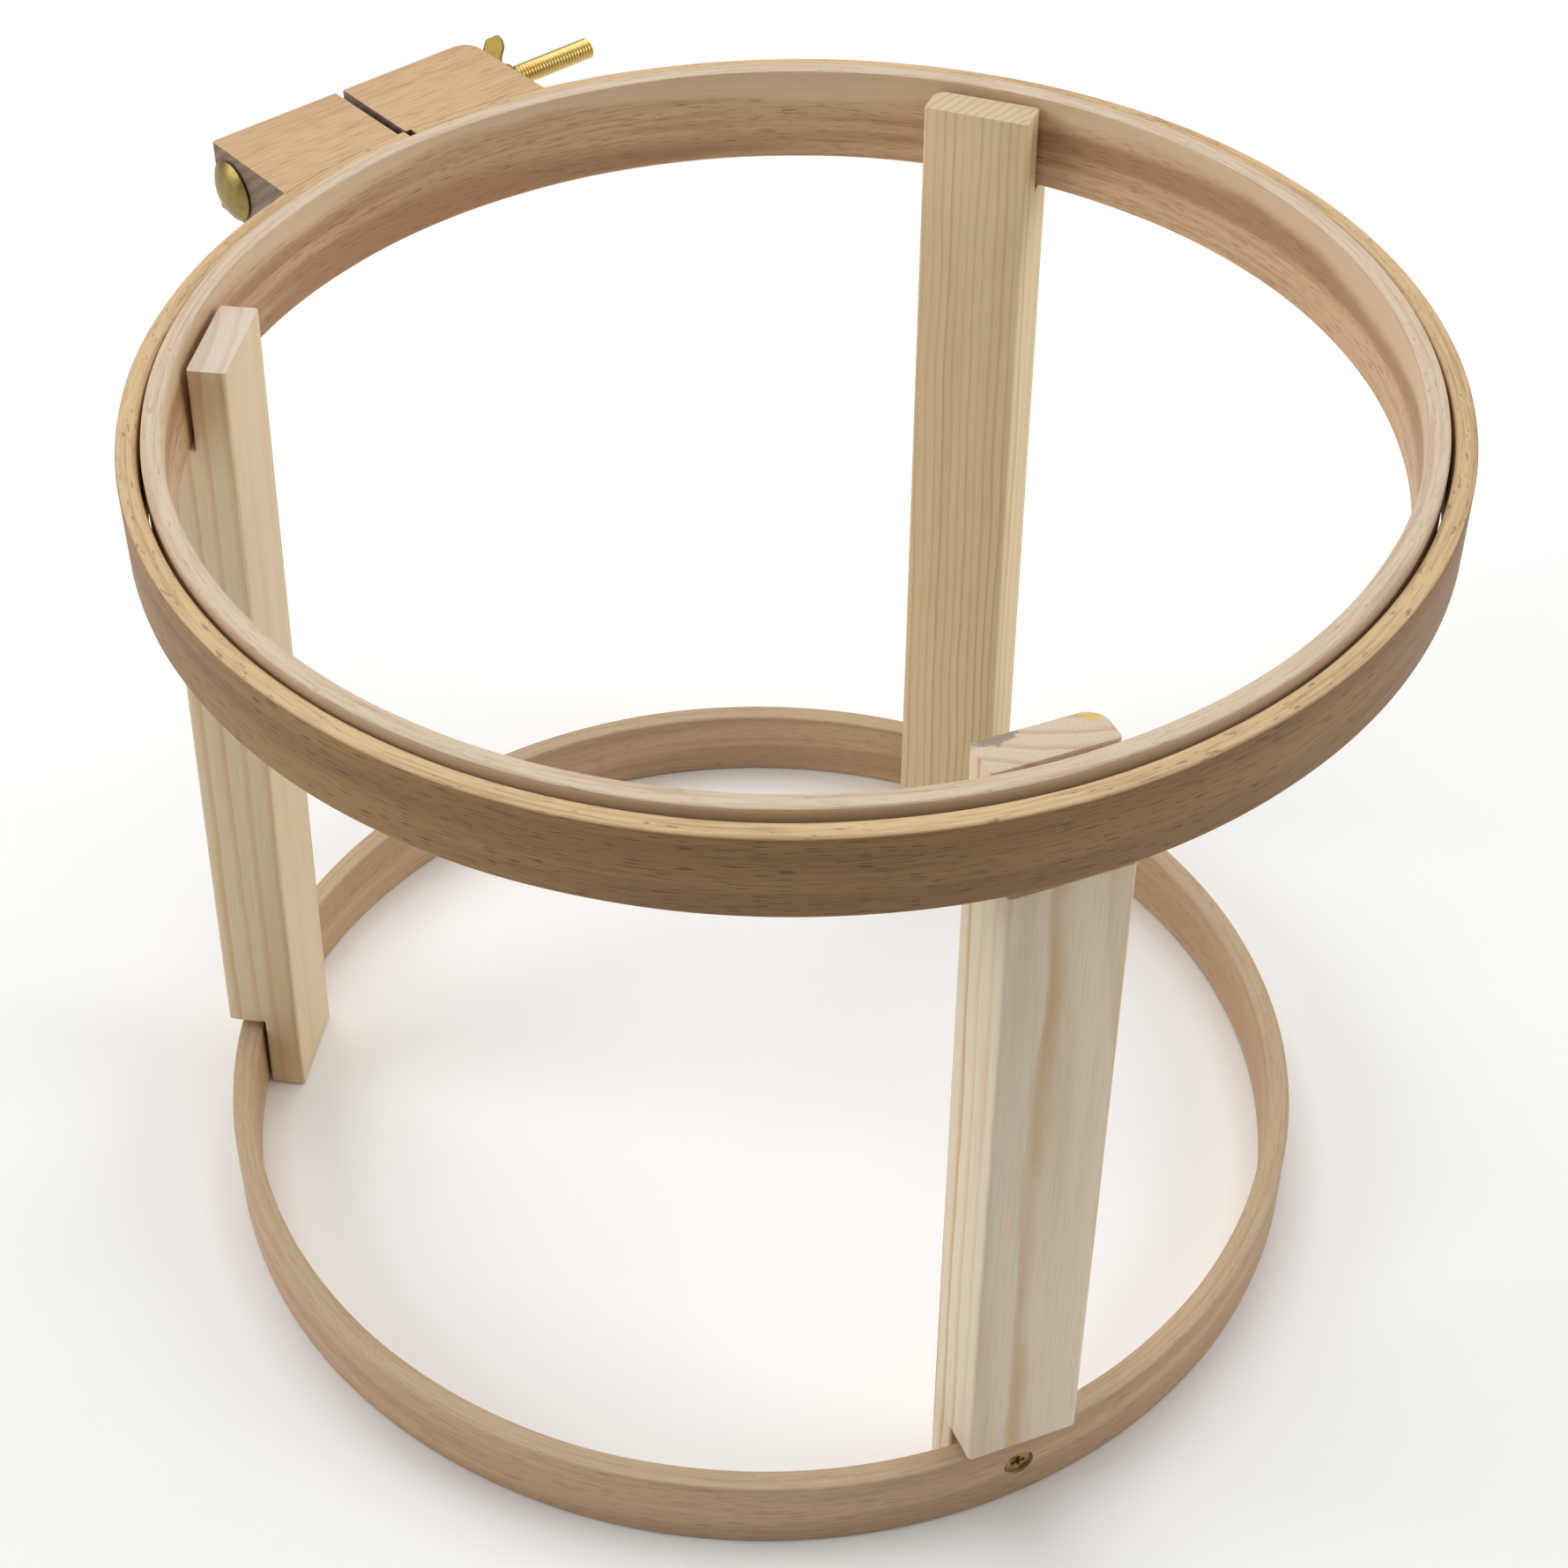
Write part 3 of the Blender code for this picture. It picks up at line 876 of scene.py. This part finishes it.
@dataclass
class Screw:
    """A countersunk brass wood screw with a cross recess."""

    head_radius: float = 4.0 * MM
    shank_radius: float = 1.5 * MM
    thread_radius: float = 1.9 * MM
    length: float = 15.0 * MM
    rim: float = 0.4 * MM
    rim_round: tuple[float, float] = (0.35 * MM, 0.18 * MM)
    point_length: float = 3 * MM
    point_radius: float = 0.25 * MM
    sunk: float = 0.7 * MM
    pitch: float = 1.6 * MM
    fit: float = 0.12 * MM
    slot_length: float = 4.0 * MM
    slot_width: float = 1.2 * MM
    slot_depth: float = 1.7 * MM

    def pattern(self) -> Bench:
        """Model one screw, head down at the world's origin and pointing along +Z.

        Returns:
            The screw on the bench.
        """
        neck = self.rim + self.head_radius - self.shank_radius
        taper = self.length - self.point_length
        body = Bench.turned("screw_pattern", [
            (self.head_radius - self.rim_round[0], 0.0), (self.head_radius, self.rim_round[1]),
            (self.head_radius, self.rim), (self.shank_radius, neck), (self.shank_radius, taper),
            (self.point_radius, self.length),
        ], 40)
        turns = math.floor((taper - neck) / self.pitch)
        start = taper - turns * self.pitch
        ridge = thread("screw_thread", self.shank_radius, self.thread_radius, self.pitch, start, turns, 20)
        body.join(ridge)
        for wide, high in ((self.slot_length, self.slot_width), (self.slot_width, self.slot_length)):
            body.cut(self.recess_arm(wide / 2, high / 2))
        return body

    def recess_arm(self, wide: float, high: float) -> Bench:
        """One arm of the cross recess, which narrows as it goes in.

        Args:
            wide: half its length along X.
            high: half its length along Y.

        Returns:
            The arm as a cutter.
        """
        sections = []
        for level, size in ((-PAST, 1.1), (0.0, 1.0), (self.slot_depth, 0.45)):
            x, y = wide * size, high * size
            sections.append([Vector((-x, -y, level)), Vector((x, -y, level)), Vector((x, y, level)),
                             Vector((-x, y, level))])
        return Bench.lofted("recess_arm", sections)

    def pocket(self, into: float) -> Bench:
        """The countersunk hole that one screw needs.

        Args:
            into: how far the wide mouth reaches out past the screw's head.

        Returns:
            The hole as a cutter, placed as the pattern is.
        """
        wide = self.head_radius + self.fit
        narrow = self.thread_radius + self.fit
        neck = self.rim + self.head_radius - self.shank_radius
        return Bench.turned("screw_pocket", [
            (wide, -into), (wide, self.rim), (narrow, neck), (narrow, self.length + self.fit),
        ], 40)

    def place(self, ring: Hoop, bearing: float, level: float) -> Matrix:
        """Where a screw goes that is driven into a hoop from outside.

        Args:
            ring: the hoop.
            bearing: its bearing from the hoop's centre, in degrees.
            level: its height.

        Returns:
            The screw's place.
        """
        out = direction(bearing)
        head = ring.centre + out * (ring.outer - self.sunk) + Vector((0.0, 0.0, level))
        return Matrix.Translation(head) @ (-out).to_track_quat("Z", "Y").to_matrix().to_4x4()


def thread(name: str, root: float, crest: float, pitch: float, start: float, turns: int,
           steps: int) -> Bench:
    """A thread's ridge, wound right-handed round Z.

    Args:
        name: the piece's name.
        root: the radius at the ridge's foot.
        crest: the radius at its top.
        pitch: how far one turn climbs.
        start: the level at which it starts.
        turns: how many turns it has.
        steps: how many facets a turn has.

    Returns:
        The ridge on the bench.
    """
    sunk = 0.2 * (crest - root)
    middle = (root - sunk + crest) / 2
    bpy.ops.object.select_all(action="DESELECT")
    bpy.ops.mesh.primitive_plane_add(size=1.0, location=(middle, 0.0, start + pitch / 2),
                                     rotation=(math.pi / 2, 0.0, 0.0))
    ridge = Bench.pick_up(name, Vector((crest - root + sunk, pitch * 0.94, 1.0)))
    with ridge.editing("VERT"):
        mesh = bmesh.from_edit_mesh(ridge.piece.data)
        for point in mesh.verts:
            point.select_set(point.co.x > middle)
        bpy.ops.transform.resize(value=(1.0, 1.0, 0.2), center_override=(middle, 0.0, start + pitch / 2))
        bpy.ops.mesh.select_all(action="SELECT")
        bpy.ops.mesh.delete(type="ONLY_FACE")
    ridge.with_modifier("SCREW", angle=math.tau, screw_offset=pitch, iterations=turns, steps=steps,
                        render_steps=steps, use_merge_vertices=False)
    with ridge.editing("EDGE"):
        ridge.pick_edges(lambda edge: edge.is_boundary)
        bpy.ops.mesh.fill()
    ridge.face_outwards()
    return ridge


@dataclass
class Post:
    """A pine post, notched at both ends, that leans a little between its two fixings."""

    name: str
    upper: float
    lower: float
    facing: float
    top: float
    finish: Pine
    width: float = 29.2 * MM
    tongue: float = 10.2 * MM
    shoulder: float = 10.6 * MM
    clearance: float = 2.6 * MM
    fit: float = 0.8 * MM
    gap: float = 0.3 * MM
    arris: float = 1.1 * MM
    sawn_edge: float = 0.45 * MM
    rounded: dict[tuple[int, int], float] = field(default_factory=dict)

    def contact(self, radius: float, skew: float) -> float:
        """How far out the tongue's face stands inside a round wall.

        Args:
            radius: the wall's radius.
            skew: the angle in radians between the post and the wall's own bearing.

        Returns:
            The face's distance from the wall's centre.
        """
        half = self.width / 2
        return math.sqrt(radius**2 - (half * math.cos(skew)) ** 2) - half * abs(math.sin(skew)) - self.fit

    def feet(self, inner: Hoop, base: Hoop, screw_levels: tuple[float, float]) -> tuple[Vector, Vector]:
        """Where the tongue's face meets the inner hoop and the base hoop.

        Args:
            inner: the inner hoop.
            base: the base hoop.
            screw_levels: the height of the upper and of the lower screw.

        Returns:
            The upper and the lower point.
        """
        high_skew = math.radians(self.facing - self.upper)
        low_skew = math.radians(self.facing - self.lower)
        high = inner.centre + direction(self.upper) * self.contact(inner.inner, high_skew)
        low = base.centre + direction(self.lower) * self.contact(base.inner, low_skew)
        return high + Vector((0.0, 0.0, screw_levels[0])), low + Vector((0.0, 0.0, screw_levels[1]))

    def build(self, inner: Hoop, base: Hoop,
              screw_levels: tuple[float, float]) -> tuple[Bench, Vector, Vector]:
        """Saw, notch and ease the post, and stand it in its place.

        Args:
            inner: the inner hoop.
            base: the base hoop.
            screw_levels: the height of the upper and of the lower screw.

        Returns:
            The post on the bench, the place of its foot, and how it leans.
        """
        half = self.width / 2
        shelf = base.high + self.clearance
        ledge = inner.low - self.gap
        post = Bench.block(self.name + "_planed", Vector((-self.tongue, -half, self.gap)),
                           Vector((0.0, half, self.top)))
        with post.editing():
            for level in (shelf, ledge):
                bpy.ops.mesh.select_all(action="SELECT")
                bpy.ops.mesh.bisect(plane_co=(0.0, 0.0, level), plane_no=(0.0, 0.0, 1.0))
            post.pick_faces(lambda face: face.normal.x > 0.9 and shelf < face.calc_center_median().z < ledge)
            bpy.ops.mesh.extrude_region_move(TRANSFORM_OT_translate={"value": (self.shoulder, 0.0, 0.0)})
        post.face_outwards()
        for (x_side, y_side), radius in self.rounded.items():
            post.soften(radius, lambda edge, x=x_side, y=y_side: self.is_arris(edge, x, y), 6)
        post.soften(self.arris, self.is_upright)
        post.soften(self.sawn_edge, lambda edge: True, 2)
        high, low = self.feet(inner, base, screw_levels)
        lean = (high - low) / (high.z - low.z)
        out = direction(self.facing)
        across = Vector((-out.y, out.x, 0.0))
        foot = low - lean * low.z
        post.move(Matrix.Translation(foot) @ Matrix((out, across, lean)).transposed().to_4x4())
        return post, foot, lean

    @staticmethod
    def is_upright(edge: bmesh.types.BMEdge) -> bool:
        """Whether an edge runs up the post."""
        run = edge.verts[0].co - edge.verts[1].co
        return abs(run.z) > 0.9 * run.length

    def is_arris(self, edge: bmesh.types.BMEdge, x_side: int, y_side: int) -> bool:
        """Whether an edge is one of the tongue's four long arrises.

        Args:
            edge: the edge.
            x_side: 1 for the tongue's outer face and -1 for its inner one.
            y_side: 1 or -1 for the left or the right side, seen from the hoops' axis.

        Returns:
            Whether it is.
        """
        middle = (edge.verts[0].co + edge.verts[1].co) / 2
        at_x = middle.x > -self.tongue / 2 if x_side > 0 else middle.x < -self.tongue / 2
        return self.is_upright(edge) and at_x and middle.y * y_side > self.width / 4

    def dress(self, post: Bench, foot: Vector, lean: Vector) -> None:
        """Give the post its wood and its body."""
        coat = self.finish.material(foot, math.radians(self.facing), lean)
        post.finish(coat, Body.STAND, self.name + "_post", "post_wood")


@dataclass
class Clamp:
    """The two blocks, the bolt, the washer and the wing nut that tighten the outer hoop."""

    hoop: Hoop
    cut_width: float = 2.2 * MM
    sharp_corner: float = 1.2 * MM
    round_corner: float = 5.5 * MM
    sawn_edge: float = 0.5 * MM
    bolt_radius: float = 2.98 * MM
    bore_fit: float = 0.35 * MM
    thread_root: float = 2.5 * MM
    threaded: float = 42 * MM
    runout: float = 1 * MM
    point: float = 0.7 * MM
    pitch: float = 1.0 * MM
    head_height: float = 3.2 * MM
    head_rim: float = 0.45 * MM
    dome_rings: int = 12
    neck_side: float = 6.4 * MM
    neck_length: float = 3.4 * MM
    neck_fit: float = 0.2 * MM
    neck_spare: float = 0.3 * MM
    washer_burr: float = 0.15 * MM
    nut_fit: float = 0.12 * MM
    wing_turn: float = 24.0
    # The hub's radius and height at each station, in millimetres.
    hub_stations: tuple[tuple[float, float], ...] = (
        (5.5, 0.0), (5.9, 0.5), (5.7, 1.4), (5.0, 3.4), (4.5, 5.5), (4.1, 6.0),
    )
    # Each wing section's lower and upper edge, its distance from the axis and its thickness, in millimetres.
    wing_sections: tuple[tuple[float, float, float, float], ...] = (
        (1.2, 5.4, 3.6, 3.7), (1.3, 6.9, 6.6, 3.3), (2.4, 10.2, 9.8, 3.0), (4.2, 11.2, 12.0, 2.9),
        (6.8, 11.2, 14.6, 2.7),
    )

    def __post_init__(self) -> None:
        """Read the bolt's place from the frame."""
        low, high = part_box("carriage_bolt")
        self.head_radius = (high.y - low.y) / 2
        self.head_top = Vector((low.x, (low.y + high.y) / 2, (low.z + high.z) / 2))
        self.seat = self.head_top + Vector((self.head_height, 0.0, 0.0))
        self.bolt_end = high.x

    def split_hoop(self, band: Bench) -> None:
        """Saw through the outer hoop between the blocks.

        Args:
            band: the outer hoop.
        """
        reach = 3 * self.hoop.wall
        middle = self.hoop.centre + Vector((0.0, self.hoop.outer, 0.0))
        half = self.cut_width / 2
        saw = Bench.block("hoop_saw", middle + Vector((-half, -reach, self.hoop.low - reach)),
                          middle + Vector((half, reach, self.hoop.high + reach)))
        band.cut(saw)

    def blocks(self, band: Bench) -> None:
        """Model both clamp blocks, fit them to the band and bore them for the bolt.

        Args:
            band: the outer hoop, before it is sawn.
        """
        coat = BLOCK_BEECH.material()
        # The joint was sanded flush after gluing, so each block's edge fills the band's rounded arris.
        reach = self.hoop.outer - self.hoop.arris
        seat = Bench.turned("hoop_seat", [(reach, self.hoop.low - self.hoop.wall),
                                          (reach, self.hoop.high + self.hoop.wall)], 576)
        seat.move(Matrix.Translation(self.hoop.centre))
        for node, inner_side, corner in (("clamp_block_head", 1, self.sharp_corner),
                                         ("clamp_block_nut", -1, self.round_corner)):
            low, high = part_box(node)
            low.y = self.hoop.centre.y + self.hoop.outer * 0.9  # sawn long, for the seat to trim
            block = Bench.block(node + "_sawn", low, high)
            outer_x = low.x if inner_side > 0 else high.x
            block.soften(corner, lambda edge, x=outer_x, y=high.y: self.at_corner(edge, x, y), 6)
            block.soften(self.sawn_edge, lambda edge: True, 2)
            block.cut(seat, keep=True)
            block.cut(band, keep=True)
            wide = self.bolt_radius + self.bore_fit
            bore = Bench.turned("bolt_bore", [(wide, low.x - self.hoop.wall),
                                              (wide, high.x + self.hoop.wall)], 40)
            bore.move(along_x(Vector((0.0, self.head_top.y, self.head_top.z))))
            block.cut(bore)
            if inner_side > 0:
                half = self.neck_side / 2 + self.neck_fit
                pocket = Bench.block("neck_pocket", self.seat + Vector((-PAST, -half, -half)),
                                     self.seat + Vector((self.neck_length + self.neck_spare, half, half)))
                block.cut(pocket)
            block.finish(coat, Body.CLAMP_HOOP, node, "clamp_block_wood")
        seat.discard()

    @staticmethod
    def at_corner(edge: bmesh.types.BMEdge, x: float, y: float) -> bool:
        """Whether an edge stands upright at a corner of a block."""
        return all(abs(point.co.x - x) < 0.1 * MM and abs(point.co.y - y) < 0.1 * MM for point in edge.verts)

    def bolt(self) -> None:
        """Model the carriage bolt, from its domed head to the end of its thread."""
        sphere = (self.head_radius**2 + self.head_height**2) / (2 * self.head_height)
        spread = math.asin(self.head_radius / sphere)
        flattened = 1 - self.head_rim / self.head_height
        dome = []
        for n in range(1, self.dome_rings + 1):
            angle = spread * n / self.dome_rings
            dome.append((sphere * math.sin(angle), (sphere - sphere * math.cos(angle)) * flattened))
        length = self.bolt_end - self.head_top.x
        under = self.head_height
        edge = self.head_rim / 3
        body = Bench.turned("carriage_bolt_turned", dome + [
            (self.head_radius, under - edge), (self.head_radius - edge, under), (self.bolt_radius, under),
            (self.bolt_radius, length - self.threaded - self.runout),
            (self.thread_root, length - self.threaded), (self.thread_root, length - self.point),
            (self.thread_root - self.point, length),
        ], 64)
        side = self.neck_side / 2
        neck = Bench.block("bolt_neck", Vector((-side, -side, under - self.neck_spare)),
                           Vector((side, side, under + self.neck_length)))
        body.join(neck)
        turns = math.floor((self.threaded - self.point) / self.pitch)
        start = length - self.point - turns * self.pitch - 0.2 * MM  # the ridge ends just short of the point
        body.join(thread("bolt_thread", self.thread_root, self.bolt_radius, self.pitch, start, turns, 32))
        body.move(along_x(self.head_top))
        body.finish(HEAD_BRASS.material(), Body.CLAMP_HOOP, "carriage_bolt", "bolt_brass", 40.0)

    def washer(self) -> None:
        """Turn the washer, with its punched edge a little rounded."""
        low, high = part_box("bolt_washer")
        radius = (high.y - low.y) / 2
        thick = high.x - low.x
        burr = self.washer_burr
        disc = Bench.turned("bolt_washer_punched", [
            (radius - burr, 0.0), (radius, burr), (radius, thick - burr), (radius - burr, thick),
        ], 64)
        wide = self.bolt_radius + self.bore_fit
        hole = Bench.turned("washer_hole", [(wide, -PAST), (wide, thick + PAST)], 48)
        disc.cut(hole)
        disc.move(along_x(Vector((low.x, self.head_top.y, self.head_top.z))))
        disc.finish(NUT_BRASS.material(), Body.WASHER, "bolt_washer", "bolt_brass")

    def wing_nut(self) -> None:
        """Cast the wing nut: a tapered hub and two flared wings, with the soft corners a mould leaves."""
        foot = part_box("wing_nut")[0].x
        hub = Bench.turned("wing_nut_cast", [(wide * MM, high * MM) for wide, high in self.hub_stations], 48)
        for turn in (0.0, math.pi):
            wing = self.wing()
            wing.move(Matrix.Rotation(turn, 4, "Z"))
            hub.join(wing)
        hub.with_modifier("REMESH", mode="VOXEL", voxel_size=0.26 * MM)
        hub.with_modifier("SMOOTH", factor=0.6, iterations=5)
        narrow = self.bolt_radius + self.nut_fit
        bore = Bench.turned("nut_bore", [(narrow, -2 * MM), (narrow, 12 * MM)], 48)
        hub.cut(bore)
        # The hub is laid along +X, which carries the wings' own Y to the hoop's +Y, and then turned by hand.
        turned = Matrix.Rotation(math.radians(self.wing_turn), 4, "X")
        hub.move(Matrix.Translation(Vector((foot, self.head_top.y, self.head_top.z))) @ turned
                 @ Matrix.Rotation(math.pi / 2, 4, "Y"))
        hub.finish(NUT_BRASS.material(), Body.NUT, "wing_nut", "wing_nut_brass", 60.0)

    def wing(self) -> Bench:
        """One wing, which stands out along +Y from a hub whose axis is Z.

        Returns:
            The wing on the bench.
        """
        sections = []
        for near, far, out, thick in self.wing_sections:
            half = thick / 2
            corners = [(-half, out, near), (half, out, near), (half, out, far), (-half, out, far)]
            sections.append([Vector(corner) * MM for corner in corners])
        wing = Bench.lofted("wing", sections)
        wing.with_modifier("BEVEL", width=0.6 * MM, segments=2, limit_method="ANGLE")
        return wing

    def build(self, band: Bench) -> None:
        """Model everything that the clamp is made of, and saw the band.

        Args:
            band: the outer hoop, before it is sawn.
        """
        self.blocks(band)
        self.split_hoop(band)
        self.bolt()
        self.washer()
        self.wing_nut()


LEFT_PINE = Pine("planed_pine_left_post", "dfcba8", "cda26c", "dacab8", "c9ad92", 5.4, (150.0, 12.0),
                 (0.004, 0.006))
RIGHT_PINE = Pine("planed_pine_right_post", "e0c89d", "c9a36c", "d1bc9a", "b69267", 2.4, (-70.0, -160.0),
                  (0.01, 0.0))
# The front post's first patch is a dark grey blemish. Its second patch, pale yellow, is a painted highlight on
# the rounded top corner.
FRONT_PINE = Pine("planed_pine_front_post", "e2d3b9", "c69f6c", "d4c2a9", "bb9471", 4.6, (-75.0, 24.0),
                  (0.006, 0.01), (BlemishAndHighlight((-9.6, -9.5, 250.0), (2.6, 5.5, 3.0), "86796a"),
                                  BlemishAndHighlight((-8.6, 12.0, 248.5), (2.6, 3.6, 3.0), "e0bc66")))


@dataclass
class Stand:
    """The inner hoop, the base hoop, the three posts and the screws that hold them together."""

    inner: Hoop
    base: Hoop
    screw: Screw = field(default_factory=Screw)
    upper_screws: float = 237.0 * MM
    lower_screws: float = 13.0 * MM
    # Each post's bearing on the inner hoop, on the base hoop and of its own face, and the height of its top.
    posts: list[Post] = field(default_factory=lambda: [
        Post("left", 130.8, 132.1, 131.6, 247.2 * MM, LEFT_PINE),
        Post("right", 27.6, 23.3, 28.5, 248.5 * MM, RIGHT_PINE, rounded={(1, 1): 3.5 * MM}),
        Post("front", -108.4, -103.6, -107.4, 250.2 * MM, FRONT_PINE, rounded={(-1, 1): 5.0 * MM}),
    ])

    def build(self) -> None:
        """Model the stand and drive its screws."""
        inner = self.inner.build()
        base = self.base.build()
        pattern = self.screw.pattern()
        pocket = self.screw.pocket(2 * MM)
        metal = SCREW_BRASS.material()
        for post in self.posts:
            upright, foot, lean = post.build(self.inner, self.base, (self.upper_screws, self.lower_screws))
            fixings = (("hoop_screw_", self.inner, inner, post.upper, self.upper_screws),
                       ("base_screw_", self.base, base, post.lower, self.lower_screws))
            for prefix, ring, band, bearing, level in fixings:
                place = self.screw.place(ring, bearing, level)
                hole = pocket.copy("hole")
                hole.move(place)
                band.cut(hole, keep=True)
                upright.cut(hole)
                driven = pattern.copy(prefix + post.name + "_brass")
                driven.move(place)
                driven.finish(metal, Body.STAND, prefix + post.name, "screw_brass", 40.0)
            post.dress(upright, foot, lean)
        pattern.discard()
        pocket.discard()
        self.inner.dress(inner)
        self.base.dress(base)


# --------------------------------------------------------------------------------------------------
# The studio
# --------------------------------------------------------------------------------------------------


@dataclass(frozen=True)
class Lamp:
    """A soft lamp with a square face.

    Its place and the side of its face are in metres, and its power is in watts.
    """

    name: str
    place: tuple[float, float, float]
    side: float
    power: float

    def hang(self, target: Vector) -> None:
        """Hang the lamp.

        Args:
            target: what it shines on.
        """
        light = bpy.data.lights.new(self.name, "AREA")
        light.shape = "SQUARE"
        light.size = self.side
        light.energy = self.power
        hung = bpy.data.objects.new(self.name, light)
        hung.location = self.place
        hung.rotation_euler = (target - Vector(self.place)).to_track_quat("-Z", "Y").to_euler()
        bpy.context.scene.collection.objects.link(hung)


@dataclass(frozen=True)
class Studio:
    """A pale floor, soft light from above and the camera, whose angles are in degrees."""

    camera_place: Vector = Vector((-367.0, -447.5, 631.6)) * MM
    camera_bearing: float = -35.5
    camera_tilt: float = 41.02
    camera_roll: float = -3.02
    lens: float = 66.31
    shift: tuple[float, float] = (0.1208, -0.0305)
    sky: float = 0.17
    lit_spot: Vector = Vector((0.0, 0.0, 0.1))
    lamps: tuple[Lamp, ...] = (
        Lamp("overhead", (0.5, 0.75, 2.4), 2.6, 50.0),
        Lamp("left_window", (-1.95, 1.2, 1.2), 1.6, 29.0),
        Lamp("right_window", (1.7, -1.6, 1.2), 1.6, 25.0),
    )
    floor_side: float = 12.0
    floor_drop: float = 0.1 * MM
    floor_colour: str = "fdfdfc"
    floor_speck: str = "f9f9f7"

    def floor(self) -> None:
        """Lay a wide pale floor just under the object."""
        bpy.ops.object.select_all(action="DESELECT")
        bpy.ops.mesh.primitive_plane_add(size=self.floor_side, location=(0.0, 0.0, -self.floor_drop))
        ground = Bench.pick_up("studio_floor").piece
        made, tree, shader = surface("matt_paper_floor")
        specks = Grain(tree, local_mm(tree, Vector(), 0.0))
        colour = specks.stain(linear(self.floor_colour), self.floor_speck, specks.layer(60.0, 60.0, 3.0))
        tree.links.new(colour, shader.inputs["Base Color"])
        shader.inputs["Roughness"].default_value = 0.9
        ground.data.materials.append(made)

    def lights(self) -> None:
        """Hang the lamps and set an even pale sky."""
        for lamp in self.lamps:
            lamp.hang(self.lit_spot)
        world = bpy.data.worlds.new("pale_sky")
        world.use_nodes = True
        world.node_tree.nodes["Background"].inputs["Strength"].default_value = self.sky
        world.node_tree.nodes["Background"].inputs["Color"].default_value = linear("ffffff")
        bpy.context.scene.world = world
        bpy.context.scene.view_settings.view_transform = "Standard"

    def camera(self) -> None:
        """Set up the camera."""
        lens = bpy.data.cameras.new("camera")
        lens.lens = self.lens
        lens.sensor_width = 36.0
        lens.shift_x, lens.shift_y = self.shift
        lens.clip_start = 0.01
        held = bpy.data.objects.new("camera", lens)
        turn = Euler((0.0, 0.0, math.radians(self.camera_bearing))).to_matrix()
        tilt = Euler((math.pi / 2 - math.radians(self.camera_tilt), 0.0, 0.0)).to_matrix()
        roll = Euler((0.0, 0.0, math.radians(self.camera_roll))).to_matrix()
        held.matrix_world = Matrix.Translation(self.camera_place) @ (turn @ tilt @ roll).to_4x4()
        bpy.context.scene.collection.objects.link(held)
        bpy.context.scene.camera = held

    def build(self) -> None:
        """Set up the studio."""
        self.floor()
        self.lights()
        self.camera()


def main() -> None:
    """Model the object in its studio."""
    logging.basicConfig(level=logging.INFO, format="%(message)s")
    noise.seed_set(SANDING_SEED)
    Studio().build()
    outer = Hoop("outer_hoop", "outer_hoop_wood", Body.CLAMP_HOOP, OUTER_BEECH, wall=5.3 * MM, seam=90.0)
    band = outer.build()
    Clamp(outer).build(band)
    outer.dress(band)
    inner = Hoop("inner_hoop", "inner_hoop_wood", Body.STAND, INNER_BEECH, wall=5.38 * MM, seam=27.6,
                 planed=0.22 * MM)
    base = Hoop("base_hoop", "base_hoop_wood", Body.STAND, BASE_BEECH, wall=6.4 * MM, seam=23.3)
    Stand(inner, base).build()


if __name__ == "__main__":
    main()
